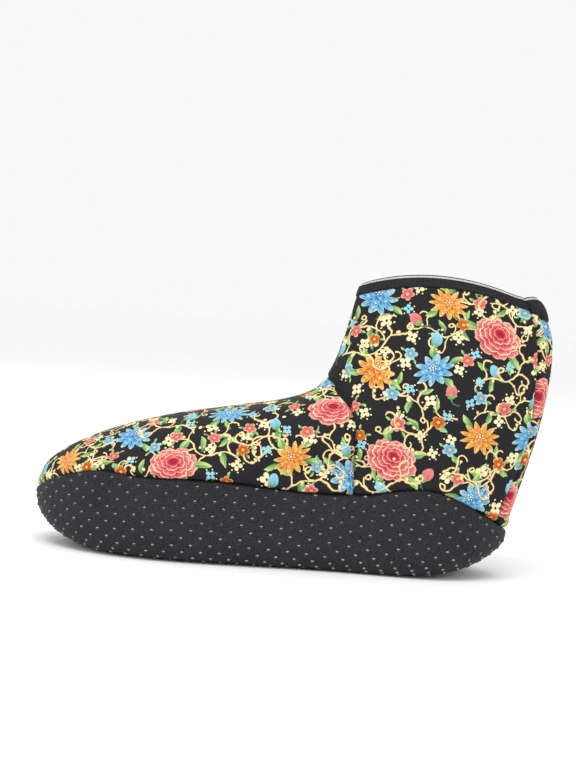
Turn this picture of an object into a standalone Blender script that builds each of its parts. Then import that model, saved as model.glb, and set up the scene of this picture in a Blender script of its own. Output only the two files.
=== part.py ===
"""Slipper sock for the left foot: a cupped grip sole, a hollow upper and a collar band.

Metres, +Z up. The toe points to -X, the outer side of the foot is -Y, and the sock stands on
its sole with the floor at Z 0 and the origin under the middle of its box.
"""

import math
from collections import namedtuple

import bmesh
import bpy
import numpy as np

# Driving dimensions
SOLE_LENGTH = 0.247
BALL_WIDTH = 0.094
SEAM_HEIGHT = 0.039
COLLAR_HEIGHT = 0.1535
UPPER_WALL = 0.0026
SOLE_WALL = 0.0030
JOIN_GAP = 0.0003

# Left foot: the toe turns to the inner side, and the arch is drawn in
TOE_TURN = 0.006
TOE_TURN_FROM = 0.60 * SOLE_LENGTH
ARCH_SHARE = 0.55
ARCH_REACH = 0.17
ARCH_INNER = 0.10
ARCH_OUTER = 0.03
ARCH_ROWS = 6
HEEL_TAPER_FROM = 0.30
HEEL_TAPER_RUN = 0.45
SOLE_HEEL_TAPER = 0.24

# Share of the sole's length over which the toe and the heel lift from the flat
TOE_LIFT_RUN = 0.16
HEEL_LIFT_RUN = 0.11

# Columns round the sock, and the centre-back seam on the outer side of the heel
RING_STEPS = 60
BACK_SEAM = math.radians(162.0)
SEAM_LIP = math.radians(1.6)
SEAM_DEPTH = 0.0012
SEAM_LIP_RISE = 0.0004

# Collar band: a butted strip with a bevelled top edge, and the inner side hangs lower
BAND_START = 11.5
BAND_PROUD = 0.0005
BAND_INSIDE = 0.0004
BAND_BEVEL = 0.0012
RIM_DROP = 0.003
TAB_CENTRE = math.radians(179.0)
TAB_REACH = math.radians(16.0)
TAB_RISE = 0.0025
TAB_BULGE = 0.0010

# Rows of the upper, from the sole seam to the rim. The x and run columns are shares of the
# sole's length, the z and bow columns shares of the collar's height, and breadth is a share
# of half the ball width. Twist, in degrees, rolls the slack shaft to the outer side.
UpperRow = namedtuple(
    "UpperRow",
    "front_x front_z back_x back_z breadth front_run back_run taper bow bow_power twist",
)
UPPER_ROWS = (
    UpperRow(0.006, 0.202, 1.000, 0.163, 0.872, 0.304, 0.182, 0.24, 0.072, 6.0, 0.0),
    UpperRow(0.014, 0.252, 1.006, 0.202, 0.889, 0.356, 0.182, 0.24, 0.059, 5.0, 0.0),
    UpperRow(0.036, 0.292, 1.012, 0.235, 0.877, 0.405, 0.182, 0.24, 0.052, 4.0, 0.0),
    UpperRow(0.081, 0.341, 1.018, 0.270, 0.860, 0.466, 0.178, 0.24, 0.046, 3.0, 0.0),
    UpperRow(0.162, 0.402, 1.024, 0.309, 0.851, 0.526, 0.178, 0.23, 0.042, 2.5, 0.0),
    UpperRow(0.283, 0.464, 1.032, 0.355, 0.830, 0.567, 0.178, 0.21, 0.039, 2.0, 0.0),
    UpperRow(0.421, 0.511, 1.040, 0.407, 0.777, 0.494, 0.178, 0.16, 0.039, 2.0, 1.0),
    UpperRow(0.526, 0.548, 1.049, 0.466, 0.702, 0.372, 0.186, 0.08, 0.042, 2.0, 2.0),
    UpperRow(0.591, 0.599, 1.057, 0.534, 0.628, 0.251, 0.202, 0.00, 0.046, 2.0, 6.0),
    UpperRow(0.619, 0.678, 1.065, 0.625, 0.553, 0.227, 0.211, 0.00, 0.052, 2.0, 10.0),
    UpperRow(0.636, 0.769, 1.070, 0.730, 0.457, 0.219, 0.211, 0.00, 0.059, 2.0, 13.0),
    UpperRow(0.650, 0.864, 1.065, 0.823, 0.372, 0.202, 0.202, 0.00, 0.060, 2.0, 16.5),
    UpperRow(0.662, 0.957, 1.043, 0.910, 0.309, 0.186, 0.186, 0.00, 0.056, 2.0, 20.0),
)
UPPER_LEVELS = tuple(step / 2 for step in range(17)) + (9.0, 10.0, 10.8)

# Rows of the sole's outer face below its seam, from the flat tread up. The z columns are
# shares of the seam's height along the side.
SoleRow = namedtuple(
    "SoleRow", "front_x front_z side_z back_x back_z breadth front_run back_run"
)
SOLE_ROWS = (
    SoleRow(0.081, 0.115, 0.000, 0.890, 0.056, 0.798, 0.243, 0.162),
    SoleRow(0.038, 0.218, 0.067, 0.947, 0.180, 0.926, 0.267, 0.174),
    SoleRow(0.006, 0.436, 0.282, 0.991, 0.395, 1.000, 0.300, 0.182),
    SoleRow(0.000, 0.628, 0.641, 1.001, 0.540, 0.957, 0.304, 0.182),
)
SOLE_STEPS_A_ROW = 2

# Waves of the sewn sole seam: place along the sole, height in metres and reach along the sole
Wave = namedtuple("Wave", "place rise reach")
OUTER_WAVES = (
    Wave(0.154, 0.0025, 0.065),
    Wave(0.668, -0.0010, 0.090),
    Wave(0.822, 0.0060, 0.085),
)
INNER_WAVES = (
    Wave(0.243, 0.0020, 0.081),
    Wave(0.490, -0.0015, 0.100),
    Wave(0.770, 0.0035, 0.090),
)
WAVE_ROWS = 5

Finish = namedtuple("Finish", "colour roughness")
SOLE_FINISH = Finish((0.030, 0.030, 0.034), 0.85)
UPPER_FINISH = Finish((0.110, 0.055, 0.065), 0.75)
BAND_FINISH = Finish((0.018, 0.018, 0.020), 0.80)
SHARP_ANGLE = math.radians(35.0)


def ring_angles():
    """Angles of the columns: 0 at the toe, a half turn at the heel, the outer side first."""
    even = [math.tau * step / RING_STEPS for step in range(RING_STEPS)]
    lips = [BACK_SEAM - SEAM_LIP, BACK_SEAM + SEAM_LIP]
    mirrored = [math.tau - lip for lip in lips]
    return np.array(sorted(even + lips + mirrored))


ANGLES = ring_angles()


def smooth_step(value):
    """Soft step from 0 to 1."""
    held = np.clip(value, 0.0, 1.0)
    return held * held * (3.0 - 2.0 * held)


def bell(value, centre, reach):
    """Soft hump of height 1 about a centre."""
    return np.exp(-(((value - centre) / reach) ** 2))


def round_end(distance, run):
    """Quarter-ellipse growth of the width behind a rounded end."""
    return np.sqrt(1.0 - (1.0 - np.clip(distance / run, 0.0, 1.0)) ** 2)


def plan_of_row(row, angles, taper, arch):
    """Plan of one row: share along it, x and y of each column, and the share across it."""
    share = (1.0 - np.cos(angles)) / 2.0
    span = row.back_x - row.front_x
    inner = np.sin(angles) < 0.0
    ends = round_end(share * span, row.front_run) * round_end((1.0 - share) * span, row.back_run)
    narrowing = 1.0 - taper * smooth_step((share - HEEL_TAPER_FROM) / HEEL_TAPER_RUN)
    waist = arch * np.where(inner, ARCH_INNER, ARCH_OUTER) * bell(share, ARCH_SHARE, ARCH_REACH)
    half = BALL_WIDTH / 2.0 * row.breadth * ends * (narrowing - waist)
    across = np.where(inner, 1.0, -1.0) * ends
    x = (row.front_x + share * span) * SOLE_LENGTH
    bend = np.clip(1.0 - x / TOE_TURN_FROM, 0.0, None) ** 2
    y = TOE_TURN * bend + np.where(inner, half, -half)
    return share, x, y, across


def seam_wave(x, inner):
    """Height added to the sole seam by its waves."""
    along = x / SOLE_LENGTH
    outer_sum = sum(wave.rise * bell(along, wave.place, wave.reach) for wave in OUTER_WAVES)
    inner_sum = sum(wave.rise * bell(along, wave.place, wave.reach) for wave in INNER_WAVES)
    return np.where(inner, inner_sum, outer_sum)


def upper_ring(level):
    """Outer face of one tabled row of the upper, as points."""
    row = UPPER_ROWS[level]
    angles = ANGLES - math.radians(row.twist) * np.sin(ANGLES / 2.0) ** 2
    arch = max(0.0, 1.0 - level / ARCH_ROWS)
    share, x, y, across = plan_of_row(row, angles, row.taper, arch)
    chord = row.front_z + (row.back_z - row.front_z) * share
    bow = row.bow * (1.0 - np.abs(2.0 * share - 1.0) ** row.bow_power)
    fade = max(0.0, 1.0 - level / WAVE_ROWS) ** 2
    waves = fade * round_end(np.minimum(share, 1.0 - share), 0.5) * seam_wave(x, across > 0.0)
    rise = level / (len(UPPER_ROWS) - 1)
    drop = RIM_DROP * rise**3 * (1.0 + across) / 2.0
    z = (chord + bow) * COLLAR_HEIGHT + waves - drop
    return np.stack([x, y, z], axis=1)


def sole_ring(row):
    """Outer face of one tabled row of the sole, as points."""
    share, x, y, _ = plan_of_row(row, ANGLES, SOLE_HEEL_TAPER, 1.0)
    toe = np.clip(1.0 - share / TOE_LIFT_RUN, 0.0, None) ** 2
    heel = np.clip(1.0 - (1.0 - share) / HEEL_LIFT_RUN, 0.0, None) ** 2
    height = row.side_z + (row.front_z - row.side_z) * toe + (row.back_z - row.side_z) * heel
    return np.stack([x, y, height * SEAM_HEIGHT], axis=1)


def ring_between(rings, level):
    """Smooth ring through the tabled rings, at a level that may lie between two of them."""
    last = len(rings) - 1
    start = min(int(level), last - 1)
    part = level - start
    here, there = rings[start], rings[start + 1]
    before = rings[start - 1] if start > 0 else 2.0 * here - there
    after = rings[start + 2] if start + 2 <= last else 2.0 * there - here
    lean_here = (there - before) / 2.0
    lean_there = (after - here) / 2.0
    square, cube = part**2, part**3
    return (
        (2.0 * cube - 3.0 * square + 1.0) * here
        + (cube - 2.0 * square + part) * lean_here
        + (3.0 * square - 2.0 * cube) * there
        + (cube - square) * lean_there
    )


def unit(vectors):
    """Vectors scaled to length 1."""
    return vectors / np.linalg.norm(vectors, axis=-1, keepdims=True)


def outward(grid):
    """Outward normal of each point of a grid whose rows run upwards."""
    along = np.roll(grid, -1, axis=1) - np.roll(grid, 1, axis=1)
    up = np.gradient(grid, axis=0)
    return unit(np.cross(along, up))


def seam_relief():
    """Depth of the back seam's groove and height of its two lips, for each column."""
    relief = np.zeros(len(ANGLES))
    groove = int(np.argmin(np.abs(ANGLES - BACK_SEAM)))
    relief[groove] = -SEAM_DEPTH
    relief[[groove - 1, groove + 1]] = SEAM_LIP_RISE
    return relief


def upper_grids():
    """Outer face and outward normals of the upper, rows of the wall first and then the band's."""
    rings = [upper_ring(level) for level in range(len(UPPER_ROWS))]
    last = len(UPPER_ROWS) - 1
    row_rise = np.linalg.norm(rings[last] - rings[last - 1], axis=1).mean()
    half_gap = JOIN_GAP / 2.0 / row_rise
    band_levels = (BAND_START + half_gap, (BAND_START + last) / 2.0, last)
    levels = UPPER_LEVELS + (BAND_START - half_gap,) + band_levels
    grid = np.array([ring_between(rings, level) for level in levels])
    normals = outward(grid)
    join = len(levels) - len(band_levels)
    normals[join - 1 : join + 1] = unit(normals[join - 1] + normals[join])
    held = np.minimum(np.array(levels), 1.0)[:, None, None]
    grid = grid + normals * seam_relief()[None, :, None] * held
    return grid, normals, len(band_levels)


def sole_grid():
    """Outer face of the sole, rows from the flat tread up to its seam."""
    rings = [sole_ring(row) for row in SOLE_ROWS] + [upper_ring(0)]
    steps = (len(rings) - 1) * SOLE_STEPS_A_ROW
    return np.array([ring_between(rings, step / SOLE_STEPS_A_ROW) for step in range(steps + 1)])


def bridge(mesh, below, above):
    """Faces between two rings of vertices, facing out where the rings run upwards."""
    count = len(below)
    for column in range(count):
        after = (column + 1) % count
        mesh.faces.new((below[column], below[after], above[after], above[column]))


def close_across(mesh, ring, facing_up):
    """Flat strips from side to side that close a ring along its length."""
    count = len(ring)
    for column in range(count // 2):
        corners = [ring[column], ring[column + 1], ring[count - column - 1]]
        if column > 0:
            corners.append(ring[count - column])
        if column == count // 2 - 1:
            corners.pop(2)
        mesh.faces.new(corners if facing_up else corners[::-1])


def finished_object(mesh, name, finish, collection):
    """New object with a smooth-shaded mesh and a material of its own."""
    data = bpy.data.meshes.new(name)
    mesh.to_mesh(data)
    mesh.free()
    data.shade_smooth()
    data.set_sharp_from_angle(angle=SHARP_ANGLE)
    material = bpy.data.materials.new(name)
    material.use_nodes = True
    surface = material.node_tree.nodes["Principled BSDF"]
    surface.inputs["Base Color"].default_value = (*finish.colour, 1.0)
    surface.inputs["Roughness"].default_value = finish.roughness
    surface.inputs["Metallic"].default_value = 0.0
    data.materials.append(material)
    made = bpy.data.objects.new(name, data)
    collection.objects.link(made)
    return made


def loft(rings, closed_tube):
    """Mesh through rings of points, and its rings of vertices."""
    mesh = bmesh.new()
    loops = [[mesh.verts.new(point) for point in ring] for ring in rings]
    for below, above in zip(loops, loops[1:]):
        bridge(mesh, below, above)
    if closed_tube:
        bridge(mesh, loops[-1], loops[0])
    return mesh, loops


def build_upper(grid, normals, seam_in, collection):
    """Hollow upper: outer face up to the collar, then its inner face back down to the seam."""
    outer = grid.copy()
    inner = grid - normals * UPPER_WALL
    inner[0] = grid[0] + seam_in * UPPER_WALL
    lift = np.array([0.0, 0.0, JOIN_GAP / 2.0])
    outer[0] += lift
    inner[0] += lift
    mesh, _ = loft([*outer, *inner[::-1]], closed_tube=True)
    return finished_object(mesh, "upper", UPPER_FINISH, collection)


def build_band(grid, normals, collection):
    """Collar band above the upper's edge, with a bevelled top and the raised end of its seam."""
    tab = bell(ANGLES, TAB_CENTRE, TAB_REACH)[:, None]
    lift = tab * TAB_RISE * np.array([0.0, 0.0, 1.0])
    bulge = tab * TAB_BULGE * normals
    outer = grid + normals * BAND_PROUD + bulge
    inner = grid - normals * (UPPER_WALL + BAND_INSIDE)
    top = outer[-1] - normals[-1] * BAND_BEVEL + lift
    outer[-1] += lift - np.array([0.0, 0.0, BAND_BEVEL])
    inner[-1] += lift
    mesh, _ = loft([*outer, top, *inner[::-1]], closed_tube=True)
    return finished_object(mesh, "collar_band", BAND_FINISH, collection)


def build_sole(grid, normals, seam_in, collection):
    """Cupped sole: outer face from the tread to the seam, then its inner face back down."""
    outer = grid.copy()
    inner = grid - normals * SOLE_WALL
    inner[-1] = grid[-1] + seam_in * UPPER_WALL
    drop = np.array([0.0, 0.0, JOIN_GAP / 2.0])
    outer[-1] -= drop
    inner[-1] -= drop
    mesh, loops = loft([*outer, *inner[::-1]], closed_tube=False)
    close_across(mesh, loops[0], facing_up=False)
    close_across(mesh, loops[-1], facing_up=True)
    return finished_object(mesh, "sole", SOLE_FINISH, collection)


def main():
    """Builds the three pieces with the origin under the middle of their box."""
    for leftover in list(bpy.data.objects):
        bpy.data.objects.remove(leftover)
    collection = bpy.data.collections.new("slipper_sock")
    bpy.context.scene.collection.children.link(collection)

    wall, wall_normals, band_rows = upper_grids()
    sole = sole_grid()
    every_point = np.concatenate([wall.reshape(-1, 3), sole.reshape(-1, 3)])
    middle = (every_point.min(axis=0) + every_point.max(axis=0)) / 2.0
    shift = np.array([middle[0], middle[1], 0.0])
    wall -= shift
    sole -= shift

    sole_normals = outward(sole)
    seam_in = -unit(wall_normals[0] + sole_normals[-1])
    build_upper(wall[:-band_rows], wall_normals[:-band_rows], seam_in, collection)
    build_band(wall[-band_rows:], wall_normals[-band_rows:], collection)
    build_sole(sole, sole_normals, seam_in, collection)


main()
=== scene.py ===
"""Looks of a slipper sock for the left foot: printed upper, grip sole, collar band, plain studio.

Metres, +Z up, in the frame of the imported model. The toe points to -X and the outer side is -Y.
"""

import logging
import math
from collections.abc import Callable, Sequence
from dataclasses import dataclass, field
from enum import Enum, IntEnum
from typing import NamedTuple

import bpy
import numpy as np
from mathutils import Matrix, Vector


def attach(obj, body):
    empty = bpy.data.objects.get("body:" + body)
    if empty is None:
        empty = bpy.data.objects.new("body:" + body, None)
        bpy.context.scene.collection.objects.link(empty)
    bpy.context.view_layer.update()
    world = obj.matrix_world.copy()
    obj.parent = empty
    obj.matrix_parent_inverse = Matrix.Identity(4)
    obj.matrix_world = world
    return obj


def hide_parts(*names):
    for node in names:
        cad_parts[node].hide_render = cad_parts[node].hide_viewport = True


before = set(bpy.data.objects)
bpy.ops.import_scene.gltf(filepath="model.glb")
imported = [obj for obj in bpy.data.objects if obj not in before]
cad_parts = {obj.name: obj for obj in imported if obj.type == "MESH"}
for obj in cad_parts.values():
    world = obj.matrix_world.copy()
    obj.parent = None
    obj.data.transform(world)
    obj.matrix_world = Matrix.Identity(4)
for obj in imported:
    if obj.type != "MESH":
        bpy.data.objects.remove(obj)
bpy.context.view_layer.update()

LOG = logging.getLogger("slipper_sock")
BODY = "root"
# A motif coordinate that no motif reaches, what a motif's code gains behind the ankle seam, and a trifle.
FAR_OFF = 9.0
BEHIND_CODE = 10.0
TINY = 1e-9
# Levels of the close rows at the sole seam, and how many rows of an outside the inside has one for.
SEAM_STEPS = (0.0, 0.03, 0.06, 0.10, 0.15, 0.21, 0.28, 0.36)
INSIDE_EVERY = 4
BALL_SEGMENTS = 8
BALL_RINGS = 6
SOFT = {"interpolation_type": "SMOOTHSTEP"}

Colour = tuple[float, float, float]


class UpperRow(NamedTuple):
    """One row of the upper's outer face; lengths are shares of the sole's length or collar's height."""

    front_x: float
    front_z: float
    back_x: float
    back_z: float
    breadth: float
    front_run: float
    back_run: float
    taper: float
    bow: float
    bow_power: float
    twist: float


class SoleRow(NamedTuple):
    """One row of the sole's outer face, from the tread up to the seam."""

    front_x: float
    front_z: float
    side_z: float
    back_x: float
    back_z: float
    breadth: float
    front_run: float
    back_run: float


class Wave(NamedTuple):
    """A wave of the sewn sole seam: its place along the sole, height in metres and reach."""

    place: float
    rise: float
    reach: float


UPPER_ROWS = (
    UpperRow(0.006, 0.202, 1.000, 0.163, 0.872, 0.304, 0.182, 0.24, 0.072, 6.0, 0.0),
    UpperRow(0.014, 0.252, 1.006, 0.202, 0.889, 0.356, 0.182, 0.24, 0.059, 5.0, 0.0),
    UpperRow(0.036, 0.292, 1.012, 0.235, 0.877, 0.405, 0.182, 0.24, 0.052, 4.0, 0.0),
    UpperRow(0.081, 0.341, 1.018, 0.270, 0.860, 0.466, 0.178, 0.24, 0.046, 3.0, 0.0),
    UpperRow(0.162, 0.402, 1.024, 0.309, 0.851, 0.526, 0.178, 0.23, 0.042, 2.5, 0.0),
    UpperRow(0.283, 0.464, 1.032, 0.355, 0.830, 0.567, 0.178, 0.21, 0.039, 2.0, 0.0),
    UpperRow(0.421, 0.511, 1.040, 0.407, 0.777, 0.494, 0.178, 0.16, 0.039, 2.0, 1.0),
    UpperRow(0.526, 0.548, 1.049, 0.466, 0.702, 0.372, 0.186, 0.08, 0.042, 2.0, 2.0),
    UpperRow(0.591, 0.599, 1.057, 0.534, 0.628, 0.251, 0.202, 0.00, 0.046, 2.0, 6.0),
    UpperRow(0.619, 0.678, 1.065, 0.625, 0.553, 0.227, 0.211, 0.00, 0.052, 2.0, 10.0),
    UpperRow(0.636, 0.769, 1.070, 0.730, 0.457, 0.219, 0.211, 0.00, 0.059, 2.0, 13.0),
    UpperRow(0.650, 0.864, 1.065, 0.823, 0.372, 0.202, 0.202, 0.00, 0.060, 2.0, 16.5),
    UpperRow(0.662, 0.957, 1.043, 0.910, 0.309, 0.186, 0.186, 0.00, 0.056, 2.0, 20.0),
)
SOLE_ROWS = (
    SoleRow(0.081, 0.115, 0.000, 0.890, 0.056, 0.798, 0.243, 0.162),
    SoleRow(0.038, 0.218, 0.067, 0.947, 0.180, 0.926, 0.267, 0.174),
    SoleRow(0.006, 0.436, 0.282, 0.991, 0.395, 1.000, 0.300, 0.182),
    SoleRow(0.000, 0.628, 0.641, 1.001, 0.540, 0.957, 0.304, 0.182),
)
OUTER_WAVES = (Wave(0.154, 0.0025, 0.065), Wave(0.668, -0.0010, 0.090), Wave(0.822, 0.0060, 0.085))
INNER_WAVES = (Wave(0.243, 0.0020, 0.081), Wave(0.490, -0.0015, 0.100), Wave(0.770, 0.0035, 0.090))
# How far the drawn seam runs above the seam of the solids on the outer side, and below it at the toe.
SEAM_LIFTS = (
    Wave(0.156, 0.0007, 0.065),
    Wave(0.400, 0.0022, 0.130),
    Wave(0.668, 0.0014, 0.090),
    Wave(0.900, 0.0065, 0.150),
)
TOE_DROPS = (Wave(0.0, -0.0030, 0.040),)


def smooth_step(value: np.ndarray) -> np.ndarray:
    """Soft step from 0 to 1."""
    held = np.clip(value, 0.0, 1.0)
    return held * held * (3.0 - 2.0 * held)


def bell(value: np.ndarray, centre: float, reach: float) -> np.ndarray:
    """Soft hump of height 1 about a centre."""
    return np.exp(-(((value - centre) / reach) ** 2))


def waves_at(share: np.ndarray, waves: Sequence[Wave]) -> np.ndarray:
    """Sum of some waves at each share of the sole's length."""
    return sum(wave.rise * bell(share, wave.place, wave.reach) for wave in waves)


def rolled(distance: np.ndarray, radius: float) -> np.ndarray:
    """Depth of a rolled edge below its face, at each distance from the edge."""
    turned = np.clip(1.0 - distance / radius, 0.0, 1.0)
    return radius * (1.0 - np.sqrt(1.0 - turned**2))


def round_end(distance: np.ndarray, run: float) -> np.ndarray:
    """Quarter-ellipse growth of the width behind a rounded end."""
    return np.sqrt(1.0 - (1.0 - np.clip(distance / run, 0.0, 1.0)) ** 2)


def unit(vectors: np.ndarray) -> np.ndarray:
    """Vectors scaled to length 1."""
    return vectors / np.linalg.norm(vectors, axis=-1, keepdims=True)


def outward(grid: np.ndarray) -> np.ndarray:
    """Outward normal of each point of a grid whose rows run upwards."""
    along = np.roll(grid, -1, axis=1) - np.roll(grid, 1, axis=1)
    return unit(np.cross(along, np.gradient(grid, axis=0)))


def run_up(grid: np.ndarray, keep: Sequence[int] = (0, 1, 2)) -> np.ndarray:
    """Length along each column of a grid from its first row, in the kept axes."""
    steps = np.linalg.norm(np.diff(grid[..., list(keep)], axis=0), axis=-1)
    return np.concatenate([np.zeros((1, grid.shape[1])), np.cumsum(steps, axis=0)])


def run_round(grid: np.ndarray) -> np.ndarray:
    """Length along each row of a grid from its first column."""
    steps = np.linalg.norm(np.diff(grid, axis=1), axis=-1)
    return np.concatenate([np.zeros((grid.shape[0], 1)), np.cumsum(steps, axis=1)], axis=1)


def ring_quads(numbers: np.ndarray) -> np.ndarray:
    """Quads between the rows of a grid of point numbers that is closed round."""
    after = np.roll(numbers, -1, axis=1)
    return np.stack([numbers[:-1], after[:-1], after[1:], numbers[1:]], axis=-1).reshape(-1, 4)


@dataclass(frozen=True)
class SockForm:
    """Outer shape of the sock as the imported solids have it, which every piece is laid on."""

    sole_length: float = 0.247
    ball_width: float = 0.094
    seam_height: float = 0.039
    collar_height: float = 0.1535
    upper_wall: float = 0.0026
    sole_wall: float = 0.0030
    toe_turn: float = 0.006
    toe_turn_from: float = 0.60
    arch_share: float = 0.55
    arch_reach: float = 0.17
    arch_inner: float = 0.10
    arch_outer: float = 0.03
    arch_rows: int = 6
    heel_taper_from: float = 0.30
    heel_taper_run: float = 0.45
    sole_heel_taper: float = 0.24
    toe_lift_run: float = 0.16
    heel_lift_run: float = 0.11
    wave_rows: int = 5
    rim_drop: float = 0.003
    back_seam: float = math.radians(162.0)
    band_start: float = 11.5
    origin: tuple[float, float, float] = (0.132142, 0.00136835, 0.0)
    column_count: int = 420
    close_columns: int = 12
    close_step: float = math.radians(0.25)
    seam_tries: tuple[float, float, int] = (-0.5, 3.0, 71)

    def columns(self) -> np.ndarray:
        """Angles of the columns: 0 at the toe, a half turn at the heel, the outer side first.

        Returns:
            The angles in rising order, close together about the back seam and one of them on it.
        """
        even = math.tau * np.arange(self.column_count) / self.column_count
        near = self.back_seam + self.close_step * np.arange(-self.close_columns, self.close_columns + 1)
        apart = np.abs(even - self.back_seam) > self.close_step * (self.close_columns + 0.5)
        return np.sort(np.concatenate([even[apart], near]))

    def beside_back_seam(self, grid: np.ndarray) -> np.ndarray:
        """Length round the sock between the back seam and each point of a grid of all the columns."""
        around = run_round(grid)
        return np.abs(around - around[:, self.columns() == self.back_seam])

    def plan(
        self, row: UpperRow | SoleRow, angles: np.ndarray, taper: float, arch: float
    ) -> tuple[np.ndarray, np.ndarray, np.ndarray, np.ndarray]:
        """Plan of one row.

        Args:
            row: Row of the upper or of the sole.
            angles: Angle of each column.
            taper: Narrowing towards the heel.
            arch: How far the arch is drawn in, from 0 to 1.

        Returns:
            Share along the row, x, y, and share across it from -1 outside to 1 inside.
        """
        share = (1.0 - np.cos(angles)) / 2.0
        span = row.back_x - row.front_x
        inner = np.sin(angles) < 0.0
        ends = round_end(share * span, row.front_run) * round_end((1.0 - share) * span, row.back_run)
        narrowing = 1.0 - taper * smooth_step((share - self.heel_taper_from) / self.heel_taper_run)
        drawn = np.where(inner, self.arch_inner, self.arch_outer)
        waist = arch * drawn * bell(share, self.arch_share, self.arch_reach)
        half = self.ball_width / 2.0 * row.breadth * ends * (narrowing - waist)
        x = (row.front_x + share * span) * self.sole_length
        bend = np.clip(1.0 - x / (self.toe_turn_from * self.sole_length), 0.0, None) ** 2
        y = self.toe_turn * bend + np.where(inner, half, -half)
        return share, x, y, np.where(inner, 1.0, -1.0) * ends

    def seam_wave(self, x: np.ndarray, inner: np.ndarray) -> np.ndarray:
        """Height that the waves add to the sole seam."""
        along = x / self.sole_length
        return np.where(inner, waves_at(along, INNER_WAVES), waves_at(along, OUTER_WAVES))

    def upper_ring(self, level: int, columns: np.ndarray) -> np.ndarray:
        """Points of one tabled row of the upper's outer face.

        Args:
            level: Row of the table.
            columns: Angle of each column.

        Returns:
            The points, from the toe's tip.
        """
        row = UPPER_ROWS[level]
        angles = columns - math.radians(row.twist) * np.sin(columns / 2.0) ** 2
        arch = max(0.0, 1.0 - level / self.arch_rows)
        share, x, y, across = self.plan(row, angles, row.taper, arch)
        chord = row.front_z + (row.back_z - row.front_z) * share
        bow = row.bow * (1.0 - np.abs(2.0 * share - 1.0) ** row.bow_power)
        fade = max(0.0, 1.0 - level / self.wave_rows) ** 2
        held = round_end(np.minimum(share, 1.0 - share), 0.5)
        rise = level / (len(UPPER_ROWS) - 1)
        drop = self.rim_drop * rise**3 * (1.0 + across) / 2.0
        z = (chord + bow) * self.collar_height + fade * held * self.seam_wave(x, across > 0.0) - drop
        return np.stack([x, y, z], axis=1)

    def sole_ring(self, row: SoleRow, columns: np.ndarray) -> np.ndarray:
        """Points of one tabled row of the sole's outer face.

        Args:
            row: Row of the table.
            columns: Angle of each column.

        Returns:
            The points, from the toe's tip.
        """
        share, x, y, _ = self.plan(row, columns, self.sole_heel_taper, 1.0)
        toe = np.clip(1.0 - share / self.toe_lift_run, 0.0, None) ** 2
        heel = np.clip(1.0 - (1.0 - share) / self.heel_lift_run, 0.0, None) ** 2
        height = row.side_z + (row.front_z - row.side_z) * toe + (row.back_z - row.side_z) * heel
        return np.stack([x, y, height * self.seam_height], axis=1)

    def blended(self, rings: np.ndarray, levels: np.ndarray) -> np.ndarray:
        """Smooth rows through tabled rings.

        Args:
            rings: Tabled rings of points.
            levels: Place of each wanted row, in rows of the table.

        Returns:
            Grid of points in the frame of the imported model, a row for each level.
        """
        padded = np.concatenate([[2 * rings[0] - rings[1]], rings, [2 * rings[-1] - rings[-2]]])
        spread = np.broadcast_to(levels.reshape(len(levels), -1), (len(levels), rings.shape[1]))
        start = np.minimum(spread.astype(int), len(rings) - 2)
        part = (spread - start)[..., None]
        column = np.arange(rings.shape[1])
        before, here, there, after = (padded[start + step, column] for step in range(4))
        square, cube = part**2, part**3
        grid = (
            (2.0 * cube - 3.0 * square + 1.0) * here
            + (cube - 2.0 * square + part) * (there - before) / 2.0
            + (3.0 * square - 2.0 * cube) * there
            + (cube - square) * (after - here) / 2.0
        )
        return grid - np.array(self.origin)

    def upper_grid(self, levels: np.ndarray, columns: np.ndarray) -> np.ndarray:
        """Outer face of the upper and band at the wanted levels."""
        rings = np.array([self.upper_ring(level, columns) for level in range(len(UPPER_ROWS))])
        return self.blended(rings, levels)

    def seam_levels(self, columns: np.ndarray) -> np.ndarray:
        """Levels of the upper at which the columns' sole seam is drawn; 0 is the seam of the solids.

        Args:
            columns: Angle of each column.

        Returns:
            A level for each column.
        """
        share = (1.0 - np.cos(columns)) / 2.0
        held = round_end(np.minimum(share, 1.0 - share), 0.5)
        rise = np.where(np.sin(columns) > 0.0, held * waves_at(share, SEAM_LIFTS), 0.0)
        rise += waves_at(share, TOE_DROPS)
        tries = np.linspace(*self.seam_tries)
        heights = self.upper_grid(tries, columns)[..., 2]
        start = self.upper_grid(np.zeros(1), columns)[0, :, 2]
        return np.array([np.interp(z, known, tries) for z, known in zip(start + rise, heights.T)])

    def drawn_upper(self, levels: np.ndarray, columns: np.ndarray) -> np.ndarray:
        """Outer face of the upper with its rows spread between the drawn seam and the last level."""
        seam = self.seam_levels(columns)
        return self.upper_grid(levels[:, None] + seam * (1.0 - levels[:, None] / levels[-1]), columns)

    def seam_line(self, columns: np.ndarray, depth: float = 0.0) -> np.ndarray:
        """Drawn line of the sole seam, or its inner edge where the upper and the sole meet.

        Args:
            columns: Angle of each column.
            depth: How far in the edge lies.

        Returns:
            The points of the line.
        """
        line = self.upper_grid(self.seam_levels(columns)[None], columns)[0]
        along = np.roll(line, -1, axis=0) - np.roll(line, 1, axis=0)
        out = unit(np.stack([along[:, 1], -along[:, 0], np.zeros(len(line))], axis=1))
        return line - depth * out

    def sole_grid(self, levels: np.ndarray, columns: np.ndarray) -> np.ndarray:
        """Outer face of the sole at the wanted levels; level 4 is its seam."""
        rings = [self.sole_ring(row, columns) for row in SOLE_ROWS] + [self.seam_line(columns) + self.origin]
        return self.blended(np.array(rings), levels)


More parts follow.
